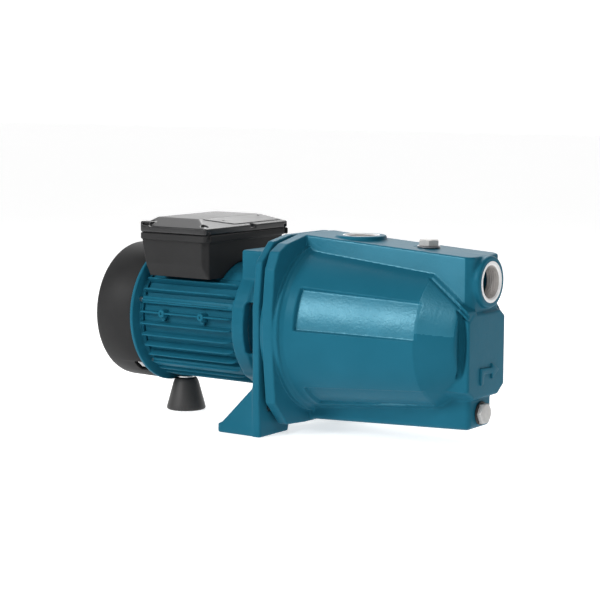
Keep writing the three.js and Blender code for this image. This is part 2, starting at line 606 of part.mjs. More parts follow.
function terminalBoxLid() {
  const seat = BOX_RIM_Z + 2;
  let lid = lidForm(0, BOX_RIM_Z - 2, 195.4, LID_TOP_Z);
  const skirt = BOX_HALF + GAP;
  lid = lid.subtract(box(BOX_X0 - GAP, BOX_X1 + GAP, -skirt, skirt, BOX_RIM_Z - 3, seat));
  lid = lid.subtract(lidForm(13, seat - 1, 195, 201.5));
  for (const [x, y] of LID_SCREW_SPOTS) {
    lid = lid.subtract(rodZ(180, 210, 2.4, 8, x, y)).subtract(rodZ(194, 210, 4.6, TINY, x, y));
  }
  return lid;
}

const lidScrew = (x, y) => rodZ(177, 195, 1.6, 6, x, y).add(rodZ(194.3, 197, 3.8, TINY, x, y));

const capacitor = () => {
  const can = new THREE.CylinderGeometry(5.6, 5.6, 62, SMALL);
  can.scale(1.6, 1, 1);
  can.translate(-138, 0, 181);
  return solid(can);
};

function terminalBlock() {
  let block = box(-112, -98, -24, 24, 172.5, 184);
  for (const y of [-16, 0, 16]) block = block.subtract(box(-113, -97, y - 2, y + 2, 179, 185));
  return block;
}

const cableGland = () => turnX([[BOX_X0 - 4, 5], [BOX_X0 - 4, 10.5], [BOX_X0 - GAP, 10.5],
  [BOX_X0 - GAP, 8], [BOX_X0 + 7, 8], [BOX_X0 + 7, 5]], TINY, GLAND_Y, GLAND_Z);
const glandNut = () => turnX([[BOX_X0 - 15, 4], [BOX_X0 - 15, 7], [BOX_X0 - 12, 10], [BOX_X0 - 4.3, 10],
  [BOX_X0 - 4.3, 4]], TINY, GLAND_Y, GLAND_Z);

// ---------------------------------------------------------------- rear foot
const rubberFoot = () => turnZ([[0, 8], [0, 19.4], [1.5, 20.2], [4, 20], [RUBBER_FOOT_H - 3, 12.6],
  [RUBBER_FOOT_H, 10.5], [RUBBER_FOOT_H, 3.4], [12, 3.4], [12, 8]], COARSE, RUBBER_FOOT_X, 0);
const footWasher = () => turnZ([[RUBBER_FOOT_H + GAP, 3.4], [RUBBER_FOOT_H + GAP, 9],
  [RUBBER_FOOT_H + 2, 9], [RUBBER_FOOT_H + 2, 3.4]], TINY, RUBBER_FOOT_X, 0);
const footScrew = () => rodZ(11, 45, 3, 12, RUBBER_FOOT_X, 0).add(rodZ(7, 11.7, 6.5, 6, RUBBER_FOOT_X, 0));

// ---------------------------------------------------------------- assembly
const pump = new THREE.Group();
pump.position.x = -(INLET_FACE_X + FAN_END_X) / 2;

function add(name, body, material) {
  const mesh = new THREE.Mesh(toGeometry(body), material);
  mesh.name = name;
  pump.add(mesh);
}

add('pump_body', pumpBody(), PAINT);
add('body_o_ring', turnX([[-1.3, 73.5], [-0.7, 72.9], [0.8, 72.9], [1.4, 73.5], [1.4, 75], [0.8, 75.6],
  [-0.7, 75.6], [-1.3, 75]], ROUND), RUBBER);
add('motor_bracket', motorBracket(), PAINT);
BOLT_SPOTS.forEach(([y, z], i) => add(`flange_bolt_${i + 1}`, flangeBolt(y, z), ZINC));
add('diffuser', diffuser(), WHITE_PLASTIC);
add('venturi_tube', venturiTube(), WHITE_PLASTIC);
add('ejector_nozzle', ejectorNozzle(), BRASS);
add('ejector_seal', ejectorSeal(), RUBBER);
add('impeller', impeller(), BRASS);
add('impeller_key', box(8.3, 18.7, -1.9, 1.9, AXIS_Z + 5.7, AXIS_Z + 10.2), STEEL);
add('impeller_nut', rodX(22.5, 28, 8.6, 6).subtract(rodX(22, 29, 5.2, SMALL)), STEEL);
add('seal_seat', ringX(-11.5, -4.3, 9, 15.7, COARSE), CERAMIC);
add('seal_ring', ringX(-4, -0.6, 8.2, 13, SMALL), LAMINATION);
add('seal_bellows', turnX([[-0.3, 8.2], [-0.3, 12.5], [1, 12.5], [1.8, 10.5], [2.6, 12.5], [4.6, 12.5],
  [4.6, 8.2]], SMALL), RUBBER);
add('slinger', turnX([[-31, 8.2], [-31, 12], [-28.5, 12], [-27.5, 19], [-26, 19], [-26, 8.2]], SMALL), RUBBER);
add('motor_housing', motorHousing(), PAINT);
add('rear_end_shield', rearEndShield(), PAINT);
TIE_ANGLES.forEach((angle, i) => add(`tie_bolt_${i + 1}`, tieBolt(angle), ZINC));
add('fan_cover', fanCover(), BLACK_PLASTIC);
add('cooling_fan', coolingFan(), BLACK_PLASTIC);
add('shaft', motorShaft(), STEEL);
add('rotor_core', rotorCore(), LAMINATION);
add('stator_core', statorCore(), LAMINATION);
add('front_winding', winding(STACK_X1 + GAP, STACK_X1 + 17), COPPER);
add('rear_winding', winding(STACK_X0 - 13, STACK_X0 - GAP), COPPER);
for (const [name, x0] of [['front', FRONT_BEARING_X], ['rear', REAR_BEARING_X + GAP]]) {
  add(`${name}_bearing_outer_race`, bearingRace(x0, false), STEEL);
  add(`${name}_bearing_inner_race`, bearingRace(x0, true), STEEL);
  add(`${name}_ball_cage`, ballCage(x0), STEEL);
}
add('terminal_box_base', terminalBoxBase(), BLACK_PLASTIC);
add('terminal_box_gasket', boxGasket(), RUBBER);
add('terminal_box_lid', terminalBoxLid(), BLACK_PLASTIC);
LID_SCREW_SPOTS.forEach(([x, y], i) => add(`lid_screw_${i + 1}`, lidScrew(x, y), ZINC));
add('run_capacitor', capacitor(), WHITE_PLASTIC);
add('terminal_block', terminalBlock(), WHITE_PLASTIC);
add('cable_gland', cableGland(), BLACK_PLASTIC);
add('gland_nut', glandNut(), BLACK_PLASTIC);
add('rubber_foot', rubberFoot(), RUBBER);
add('foot_washer', footWasher(), ZINC);
add('foot_screw', footScrew(), ZINC);
add('priming_plug_washer', turnZ(washerProfile(topZ(PRIMING_X) + GAP), SMALL, PRIMING_X, 0), FIBRE);
add('priming_plug', primingPlug(), ZINC);
add('drain_plug_washer', turnX(washerProfile(SUMP_FACE_X + GAP), SMALL, 0, DRAIN_Z), FIBRE);
add('drain_plug', drainPlug(), ZINC);

export default pump;
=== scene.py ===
"""Looks for a shallow well jet pump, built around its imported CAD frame.

Shapes are worked out in millimetres: x from the joint between pump body and bracket, y across,
z up from the floor. The joint's place in the row frame comes from the frame itself.
"""
import json
import math

import bmesh
import bpy
import numpy as np
from mathutils import Matrix, Vector


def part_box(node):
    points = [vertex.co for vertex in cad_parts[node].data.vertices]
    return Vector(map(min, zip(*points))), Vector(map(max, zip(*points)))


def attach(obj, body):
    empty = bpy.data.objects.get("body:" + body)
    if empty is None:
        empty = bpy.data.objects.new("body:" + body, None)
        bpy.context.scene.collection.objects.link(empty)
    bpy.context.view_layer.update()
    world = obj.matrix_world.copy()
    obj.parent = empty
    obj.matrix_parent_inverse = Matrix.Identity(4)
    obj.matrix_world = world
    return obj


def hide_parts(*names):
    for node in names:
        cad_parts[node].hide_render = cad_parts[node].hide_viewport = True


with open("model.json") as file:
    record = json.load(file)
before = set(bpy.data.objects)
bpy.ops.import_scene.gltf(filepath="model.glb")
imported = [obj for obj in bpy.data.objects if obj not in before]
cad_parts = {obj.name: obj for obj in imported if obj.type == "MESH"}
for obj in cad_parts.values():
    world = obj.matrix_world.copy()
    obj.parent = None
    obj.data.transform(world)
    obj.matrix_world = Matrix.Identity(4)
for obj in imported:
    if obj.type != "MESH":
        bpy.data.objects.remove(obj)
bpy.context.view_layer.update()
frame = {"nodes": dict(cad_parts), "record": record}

MM = 0.001
RIM_BEHIND = 3.7                       # the body's joint rim reaches this far behind the joint plane
JOINT_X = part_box("pump_body")[0].x + RIM_BEHIND * MM
AXIS_Z = 102.0                         # shaft height
OVERALL_HALF = 86.0                    # half the width over the flanges
LID_TOP_Z = 204.0                      # the highest point of the pump
FULL_TURN = 2 * math.pi


# ---------------------------------------------------------------- camera, light and floor
FLOOR_HALF = 9                         # metres


def studio():
    scene = bpy.context.scene
    scene.view_settings.view_transform = "Standard"
    azimuth, elevation, roll = math.radians(34.8), math.radians(6.98), math.radians(0.23)
    target = Vector((JOINT_X - 16 * MM, 0.5 * MM, 124.3 * MM))
    distance = 1.789
    back = Vector((math.sin(azimuth) * math.cos(elevation),
                   -math.cos(azimuth) * math.cos(elevation), math.sin(elevation)))
    lens = bpy.data.cameras.new("camera")
    lens.lens = 108.06
    lens.sensor_width = 36
    camera = bpy.data.objects.new("camera", lens)
    turn = (-back).to_track_quat("-Z", "Y").to_matrix().to_4x4() @ Matrix.Rotation(roll, 4, "Z")
    camera.matrix_world = Matrix.Translation(target + back * distance) @ turn
    scene.collection.objects.link(camera)
    scene.camera = camera

    corners = [(-FLOOR_HALF, -FLOOR_HALF, 0), (FLOOR_HALF, -FLOOR_HALF, 0), (FLOOR_HALF, FLOOR_HALF, 0),
               (-FLOOR_HALF, FLOOR_HALF, 0)]
    floor = mesh_object("floor", corners, [(0, 1, 2, 3)], scaled=False)
    floor.data.materials.append(floor_material())
    scene.world = backdrop((-back.x, -back.y, 0))
    area_light("key_softbox", (-0.62, -1.35, 0.9), target, 0.55, 17)
    area_light("top_softbox", (-0.4, 0.9, 1.3), target, 1.0, 13)
    area_light("front_fill", (1.3, -1.5, 0.9), target, 1.2, 1)
    area_light("shoulder_light", (0.66, -0.9, 1.2), target, 0.3, 6)


def floor_material():
    material, tree, surface = shader("pale_floor")
    patch = noise(tree, 3.0)
    tones = two_tone(tree, patch, (0.68, 0.68, 0.68), (0.72, 0.72, 0.72))
    tree.links.new(tones, surface.inputs["Base Color"])
    surface.inputs["Roughness"].default_value = 0.7
    surface.inputs["Emission Color"].default_value = (1, 1, 1, 1)
    surface.inputs["Emission Strength"].default_value = 0.66
    return material


def backdrop(bright_side):
    """A white studio wall on one side that fades to a darker room on the other."""
    world = bpy.data.worlds.new("world")
    world.use_nodes = True
    tree = world.node_tree
    place = tree.nodes.new("ShaderNodeTexCoord")
    towards = tree.nodes.new("ShaderNodeVectorMath")
    towards.operation = "DOT_PRODUCT"
    towards.inputs[1].default_value = bright_side
    tree.links.new(place.outputs["Generated"], towards.inputs[0])
    fade = tree.nodes.new("ShaderNodeMapRange")
    fade.interpolation_type = "SMOOTHSTEP"
    fade.inputs["From Min"].default_value = 0.2
    fade.inputs["From Max"].default_value = 0.95
    fade.inputs["To Min"].default_value = 0.17
    fade.inputs["To Max"].default_value = 1.25
    tree.links.new(towards.outputs["Value"], fade.inputs["Value"])
    tree.links.new(fade.outputs["Result"], tree.nodes["Background"].inputs["Strength"])
    tree.nodes["Background"].inputs["Color"].default_value = (1, 1, 1, 1)
    return world


def area_light(name, place, target, size, power):
    light = bpy.data.lights.new(name, "AREA")
    light.shape = "SQUARE"
    light.size = size
    light.energy = power
    lamp = bpy.data.objects.new(name, light)
    lamp.location = place
    lamp.rotation_mode = "QUATERNION"
    lamp.rotation_quaternion = (target - Vector(place)).to_track_quat("-Z", "Y")
    bpy.context.scene.collection.objects.link(lamp)


# ---------------------------------------------------------------- materials
def shader(name):
    material = bpy.data.materials.new(name)
    material.use_nodes = True
    return material, material.node_tree, material.node_tree.nodes["Principled BSDF"]


def noise(tree, scale, detail=3.0, roughness=0.5):
    place = tree.nodes.new("ShaderNodeTexCoord")
    texture = tree.nodes.new("ShaderNodeTexNoise")
    texture.inputs["Scale"].default_value = scale
    texture.inputs["Detail"].default_value = detail
    texture.inputs["Roughness"].default_value = roughness
    tree.links.new(place.outputs["Object"], texture.inputs["Vector"])
    return texture.outputs["Fac"]


def spread(tree, value, low, high):
    """A texture value stretched to run from low to high."""
    node = tree.nodes.new("ShaderNodeMapRange")
    node.inputs["From Min"].default_value = 0.3
    node.inputs["From Max"].default_value = 0.7
    node.inputs["To Min"].default_value = low
    node.inputs["To Max"].default_value = high
    tree.links.new(value, node.inputs["Value"])
    return node.outputs["Result"]


def two_tone(tree, value, dark, light):
    ramp = tree.nodes.new("ShaderNodeValToRGB")
    ramp.color_ramp.elements[0].position = 0.3
    ramp.color_ramp.elements[0].color = (*dark, 1)
    ramp.color_ramp.elements[1].position = 0.7
    ramp.color_ramp.elements[1].color = (*light, 1)
    tree.links.new(value, ramp.inputs["Fac"])
    return ramp.outputs["Color"]


def bump(tree, height, strength, distance, under=None):
    node = tree.nodes.new("ShaderNodeBump")
    node.inputs["Strength"].default_value = strength
    node.inputs["Distance"].default_value = distance
    tree.links.new(height, node.inputs["Height"])
    if under:
        tree.links.new(under, node.inputs["Normal"])
    return node.outputs["Normal"]


def surface_material(name, dark, light, roughness, metallic=0.0, grain=900.0, depth=0.00006,
                     patches=14.0, gloss=0.5, wave=0.0, tint=(1, 1, 1)):
    """Two close tones in soft patches, uneven gloss and a fine grain in the surface."""
    material, tree, surface = shader(name)
    patch = noise(tree, patches, 4.0, 0.55)
    fine = noise(tree, grain, 2.0, 0.6)
    tree.links.new(two_tone(tree, patch, dark, light), surface.inputs["Base Color"])
    tree.links.new(spread(tree, patch, roughness[0], roughness[1]), surface.inputs["Roughness"])
    surface.inputs["Metallic"].default_value = metallic
    surface.inputs["Specular IOR Level"].default_value = gloss
    surface.inputs["Specular Tint"].default_value = (*tint, 1)
    shape = bump(tree, fine, 0.6, depth)
    if wave:
        shape = bump(tree, noise(tree, 70.0, 2.0), 0.5, wave, shape)
    tree.links.new(shape, surface.inputs["Normal"])
    return material


TEAL_SHEEN = (0.4, 0.8, 0.95)


def make_materials():
    return {
        "paint": surface_material("teal_enamel", (0.009, 0.102, 0.158), (0.013, 0.122, 0.188),
                                  (0.34, 0.44), 0.0, 700.0, 0.00008, 10.0, 0.1, 0.0005, TEAL_SHEEN),
        # Rough-cast grain, and a painted highlight: a lighter, much glossier copy of the teal enamel for
        # the faces where the key light's highlight falls.
        "cast": surface_material("rough_cast_enamel_and_painted_highlight", (0.008, 0.12, 0.185), (0.012, 0.14, 0.215),
                                 (0.36, 0.44), 0.0, 420.0, 0.0004, 30.0, 1.0, 0.0006, TEAL_SHEEN),
        "black": surface_material("satin_black_plastic", (0.017, 0.017, 0.0175), (0.024, 0.024, 0.0245),
                                  (0.48, 0.58), 0.0, 1500.0, 0.00005, 20.0, 0.16),
        "lid": surface_material("satin_black_lid", (0.012, 0.012, 0.013), (0.02, 0.02, 0.021),
                                (0.26, 0.34), 0.0, 1500.0, 0.00004, 16.0, 0.5),
        "plate": surface_material("pale_plate", (0.2, 0.2, 0.2), (0.27, 0.27, 0.27),
                                  (0.36, 0.46), 0.0, 900.0, 0.00003, 30.0, 0.35),
        "plug": surface_material("bright_zinc_plug", (0.42, 0.42, 0.41), (0.54, 0.53, 0.52),
                                 (0.36, 0.48), 0.15, 900.0, 0.00006, 160.0),
        "rubber": surface_material("foot_rubber", (0.024, 0.024, 0.024), (0.034, 0.033, 0.033),
                                   (0.42, 0.55), 0.0, 900.0, 0.00008, 40.0),
        "zinc": surface_material("zinc_plate", (0.5, 0.5, 0.49), (0.66, 0.66, 0.65),
                                 (0.24, 0.4), 1.0, 1600.0, 0.00004, 120.0),
        "steel": surface_material("machined_steel", (0.42, 0.43, 0.44), (0.55, 0.56, 0.57),
                                  (0.2, 0.32), 1.0, 1800.0, 0.00003, 60.0),
        "machined": surface_material("machined_port_ring", (0.74, 0.74, 0.74), (0.86, 0.86, 0.86),
                                     (0.34, 0.46), 0.15, 1200.0, 0.00005, 90.0),
        "bore": surface_material("grey_iron_thread", (0.42, 0.39, 0.37), (0.58, 0.55, 0.53),
                                 (0.42, 0.55), 0.2, 900.0, 0.00008, 60.0),
        "aluminium": surface_material("bare_aluminium", (0.34, 0.34, 0.35), (0.48, 0.48, 0.49),
                                      (0.34, 0.5), 0.9, 700.0, 0.0001, 60.0),
        "lamination": surface_material("stacked_lamination", (0.2, 0.21, 0.22), (0.3, 0.31, 0.32),
                                       (0.35, 0.5), 0.9, 1200.0, 0.0001, 60.0),
        "copper": surface_material("varnished_copper", (0.42, 0.16, 0.06), (0.6, 0.26, 0.1),
                                   (0.25, 0.4), 0.9, 500.0, 0.0003, 60.0),
        "brass": surface_material("turned_brass", (0.55, 0.38, 0.14), (0.68, 0.5, 0.22),
                                  (0.25, 0.35), 1.0, 1400.0, 0.00004, 50.0),
        "white": surface_material("white_polymer", (0.72, 0.72, 0.68), (0.8, 0.8, 0.76),
                                  (0.4, 0.5), 0.0, 900.0, 0.00005, 30.0),
        "ceramic": surface_material("lapped_ceramic", (0.76, 0.74, 0.68), (0.84, 0.82, 0.76),
                                    (0.12, 0.2), 0.0, 2000.0, 0.00001, 50.0),
        "fibre": surface_material("fibre_washer", (0.03, 0.022, 0.018), (0.05, 0.038, 0.03),
                                  (0.6, 0.75), 0.0, 1200.0, 0.0001, 100.0),
    }


# ---------------------------------------------------------------- meshes
def mesh_object(name, points, faces, scaled=True):
    """A mesh from points in millimetres, placed in the row frame in metres."""
    if scaled:
        points = np.asarray(points, float) * MM + (JOINT_X, 0, 0)
    mesh = bpy.data.meshes.new(name)
    mesh.from_pydata([tuple(p) for p in points], [], [tuple(int(i) for i in f) for f in faces])
    mesh.update()
    piece = bpy.data.objects.new(name, mesh)
    bpy.context.scene.collection.objects.link(piece)
    return piece


def big_mesh(name, points, quads):
    """As mesh_object, for many thousands of quads."""
    points = points * MM + (JOINT_X, 0, 0)
    mesh = bpy.data.meshes.new(name)
    mesh.vertices.add(len(points))
    mesh.vertices.foreach_set("co", points.astype(np.float32).ravel())
    mesh.loops.add(quads.size)
    mesh.loops.foreach_set("vertex_index", quads.astype(np.int32).ravel())
    mesh.polygons.add(len(quads))
    mesh.polygons.foreach_set("loop_start", np.arange(0, quads.size, 4, dtype=np.int32))
    mesh.update(calc_edges=True)
    mesh.validate()
    piece = bpy.data.objects.new(name, mesh)
    bpy.context.scene.collection.objects.link(piece)
    return piece


def turned(name, profile, sides=64, axis="X", centre=(0, 0, AXIS_Z), closed=True):
    """A profile of (along, radius) points turned about a line along X or Z."""
    points, faces = [], []
    count = len(profile)
    for i in range(sides):
        angle = FULL_TURN * i / sides
        c, s = math.cos(angle), math.sin(angle)
        for along, radius in profile:
            local = (along, radius * c, radius * s) if axis == "X" else (radius * c, radius * s, along)
            points.append([a + b for a, b in zip(local, centre)])
    for i in range(sides):
        j = (i + 1) % sides
        for k in range(count if closed else count - 1):
            m = (k + 1) % count
            faces.append((i * count + k, i * count + m, j * count + m, j * count + k))
    return tidy(mesh_object(name, points, faces))


def prism(name, outline, low, high, axis="X"):
    """An outline drawn across the X or Z axis, between two places along it."""
    points = [(a, u, v) if axis == "X" else (u, v, a) for a in (low, high) for u, v in outline]
    n = len(outline)
    faces = [tuple(range(n)), tuple(range(2 * n - 1, n - 1, -1))]
    faces += [(i, i + n, (i + 1) % n + n, (i + 1) % n) for i in range(n)]
    return tidy(mesh_object(name, points, faces))


def tidy(piece):
    """Merges doubled points and turns every face outwards."""
    mesh = bmesh.new()
    mesh.from_mesh(piece.data)
    bmesh.ops.remove_doubles(mesh, verts=mesh.verts, dist=1e-7)
    bmesh.ops.recalc_face_normals(mesh, faces=mesh.faces)
    mesh.to_mesh(piece.data)
    mesh.free()
    return piece


def settle(piece):
    """Applies the piece's modifiers."""
    graph = bpy.context.evaluated_depsgraph_get()
    mesh = bpy.data.meshes.new_from_object(piece.evaluated_get(graph))
    piece.modifiers.clear()
    piece.data = mesh
    return piece


def carve(piece, tools, operation="DIFFERENCE"):
    for tool in tools:
        change = piece.modifiers.new("carve", "BOOLEAN")
        change.object = tool
        change.operation = operation
        change.solver = "EXACT"
    settle(piece)
    for tool in tools:
        bpy.data.objects.remove(tool)
    return piece


def soften(piece, width, segments=3, angle=35.0):
    """Rounds the edges that are sharper than the angle."""
    edge = piece.modifiers.new("edge", "BEVEL")
    edge.width = width * MM
    edge.segments = segments
    edge.limit_method = "ANGLE"
    edge.angle_limit = math.radians(angle)
    edge.use_clamp_overlap = True
    return settle(piece)


def smooth(piece, angle=40.0):
    """Smooth shading, split at edges sharper than the angle."""
    mesh = bmesh.new()
    mesh.from_mesh(piece.data)
    limit = math.radians(angle)
    for face in mesh.faces:
        face.smooth = True
    for edge in mesh.edges:
        edge.smooth = len(edge.link_faces) == 2 and edge.calc_face_angle(0) < limit
    mesh.to_mesh(piece.data)
    mesh.free()
    return piece


def join_pieces(name, pieces):
    """One mesh made of several."""
    mesh = bmesh.new()
    for piece in pieces:
        mesh.from_mesh(piece.data)
        bpy.data.objects.remove(piece)
    data = bpy.data.meshes.new(name)
    mesh.to_mesh(data)
    mesh.free()
    joined = bpy.data.objects.new(name, data)
    bpy.context.scene.collection.objects.link(joined)
    return joined


def about_shaft(piece, degrees):
    middle = Vector((0, 0, AXIS_Z * MM))
    turn = Matrix.Rotation(math.radians(degrees), 4, "X")
    piece.data.transform(Matrix.Translation(middle) @ turn @ Matrix.Translation(-middle))
    return piece


def place(piece, body, nodes, material, slot):
    """Gives a finished piece its body, the CAD nodes it stands for and its finish."""
    if not piece.data.materials:
        piece.data.materials.append(materials[material])
    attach(piece, body)
    if nodes:
        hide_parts(*nodes)
    return piece


# ---------------------------------------------------------------- distance fields
def slab(a, low, high):
    return np.maximum(low - a, a - high)


def polygon(u, v, corners):
    """Signed distance to a polygon drawn in (u, v)."""
    nearest = np.full(np.broadcast(u, v).shape, 1e9, np.float32)
    inside = np.zeros(nearest.shape, bool)
    for (u0, v0), (u1, v1) in zip(corners, corners[1:] + corners[:1]):
        eu, ev = u1 - u0, v1 - v0
        along = np.clip(((u - u0) * eu + (v - v0) * ev) / (eu * eu + ev * ev), 0, 1)
        nearest = np.minimum(nearest, np.hypot(u - u0 - eu * along, v - v0 - ev * along))
        if ev != 0:
            crosses = ((v0 <= v) != (v1 <= v)) & (u < (v - v0) * eu / ev + u0)
            inside ^= crosses
    return np.where(inside, -nearest, nearest)


def both(a, b, radius=0.0):
    """Where two fields overlap, with a rounded edge."""
    if not radius:
        return np.maximum(a, b)
    a, b = a + radius, b + radius
    return np.minimum(np.maximum(a, b), 0) + np.hypot(np.maximum(a, 0), np.maximum(b, 0)) - radius


def join(a, b, fillet=0.0):
    """Either of two fields, with a fillet in the corner."""
    if not fillet:
        return np.minimum(a, b)
    blend = np.maximum(fillet - np.abs(a - b), 0) / fillet
    return np.minimum(a, b) - blend * blend * fillet / 4


def cut(a, tool, fillet=0.0):
    return -join(-a, tool, fillet)


def net(field, low, step):
    """Points and quads on the zero level of a sampled distance field."""
    inside = field < 0
    cells = [n - 1 for n in field.shape]
    corners = [(i, j, k) for i in (0, 1) for j in (0, 1) for k in (0, 1)]
    total = np.zeros(cells, np.int8)
    for i, j, k in corners:
        total += inside[i:cells[0] + i, j:cells[1] + j, k:cells[2] + k]
    cell = np.argwhere((total > 0) & (total < 8))
    number = np.full(cells, -1, np.int32)
    number[tuple(cell.T)] = np.arange(len(cell))
    place_in, hits = np.zeros((len(cell), 3)), np.zeros(len(cell))
    for start in corners:
        for axis in range(3):
            if start[axis]:
                continue
            end = tuple(1 if k == axis else start[k] for k in range(3))
            first, last = field[tuple((cell + start).T)], field[tuple((cell + end).T)]
            hit = (first < 0) != (last < 0)
            offset = np.tile(np.array(start, float), (hit.sum(), 1))
            offset[:, axis] = first[hit] / (first[hit] - last[hit])
            place_in[hit] += offset
            hits[hit] += 1
    points = low + step * (cell + place_in / hits[:, None])
    quads = []
    for axis in range(3):
        u, v = (axis + 1) % 3, (axis + 2) % 3
        lower = np.take(inside, range(cells[axis]), axis)
        upper = np.take(inside, range(1, cells[axis] + 1), axis)
        edge = np.argwhere(lower != upper)
        edge = edge[(edge[:, u] > 0) & (edge[:, v] > 0) & (edge[:, u] < cells[u]) & (edge[:, v] < cells[v])]
        du, dv = np.eye(3, dtype=int)[u], np.eye(3, dtype=int)[v]
        ring = np.stack([number[tuple((edge - shift).T)] for shift in (0 * du, du, du + dv, dv)], 1)
        away = lower[tuple(edge.T)]
        quads.append(np.where(away[:, None], ring, ring[:, ::-1]))
    return points, np.concatenate(quads)


def relax(points, quads, rounds):
    """Moves every point part of the way to the middle of its neighbours."""
    a = quads.ravel()
    b = np.roll(quads, -1, 1).ravel()
    count = np.bincount(a, minlength=len(points)) + np.bincount(b, minlength=len(points))
    for _ in range(rounds):
        total = [np.bincount(a, points[b, k], len(points)) + np.bincount(b, points[a, k], len(points))
                 for k in range(3)]
        middle = np.stack(total, 1) / count[:, None]
        points = points + 0.5 * (middle - points)
    return points


MOST_TRIANGLES = 190000


def cast(name, shape, low, high, step):
    """A piece whose surface is the zero level of shape(x, y, z)."""
    step = step
    sides = [np.arange(a, b + step, step, dtype=np.float32) for a, b in zip(low, high)]
    field = shape(sides[0][:, None, None], sides[1][None, :, None], sides[2][None, None, :])
    points, quads = net(field, np.array(low), step)
    points = relax(points, quads, 1)
    points[:, 1] = np.clip(points[:, 1], -OVERALL_HALF, OVERALL_HALF)
    points[:, 2] = np.clip(points[:, 2], 0, LID_TOP_Z)
    piece = big_mesh(name, points, quads)
    triangles = 2 * len(quads)
    if triangles > MOST_TRIANGLES:
        thin = piece.modifiers.new("thin", "DECIMATE")
        thin.ratio = MOST_TRIANGLES / triangles
        settle(piece)
    piece.data.polygons.foreach_set("use_smooth", np.ones(len(piece.data.polygons), bool))
    return piece


# ---------------------------------------------------------------- pump body
TOP_Z0 = 193.5                         # height of the channel's top at the joint plane
TOP_SLOPE = 0.064                      # and its fall for each millimetre forwards
CHANNEL_HALF = 29
FLANGE_T = 12
BLOCK_FACE_X = 196
PORT_HOLE_R = 17.0
PLUG_HOLE_R = 6.8
CONE_MIDDLE_R = 74                     # turns a width on the cone into an angle
BODY_STEP = 0.85                       # spacing of the samples that a casting is meshed from
PORT_BOSS_R = 24.5
PORT_PITCH = 2.309
INLET_Z = 156.8
INLET_FACE_X = 200.0
DELIVERY_X = 56.3
DELIVERY_TOP_Z = 193.4
PRIMING_X = 132.0
DRAIN_Z = 33.0
SUMP_FACE_X = 190.0
NOSE_X = 188.0
SHOULDER_X = 156.0
BODY_FLANGE = [(-40, 193), (27, 193), (60, 186.3), (74, 179.3), (82, 163), (86, 127), (86, 96), (84, 67),
               (80.5, 34), (59.5, 11), (30, 9), (-40, 9)]
FRONT_BLOCK = [(-20, 129), (26, 129), (35, 122.5), (35, 57), (23, 48.5), (-20, 48.5)]


def cone_radius(x):
    return np.interp(x, [0, 16.5, 17.3, 21, 33, SHOULDER_X, SHOULDER_X + 2, 185, 187.5],
                     [85.2, 85.2, 82.9, 80.6, 79.2, 68, 66.6, 49, 47]).astype(np.float32)


def step_up(a, low, high):
    return np.clip((a - low) / (high - low), 0, 1)


def recess(x, turn, start, first, last, depth):
    """A sunk panel on the cone: deep at its rear end and shallow where it meets the shoulder."""
    along = step_up(x, start, start + 0.9) * (1 - 0.7 * np.clip((x - start) / (SHOULDER_X - start), 0, 1))
    along = along * (1 - step_up(x, SHOULDER_X, SHOULDER_X + 3))
    edge = 0.8 / CONE_MIDDLE_R
    across = step_up(turn, first, first + edge) * step_up(-turn, -last, -last + edge)
    return depth * along * across


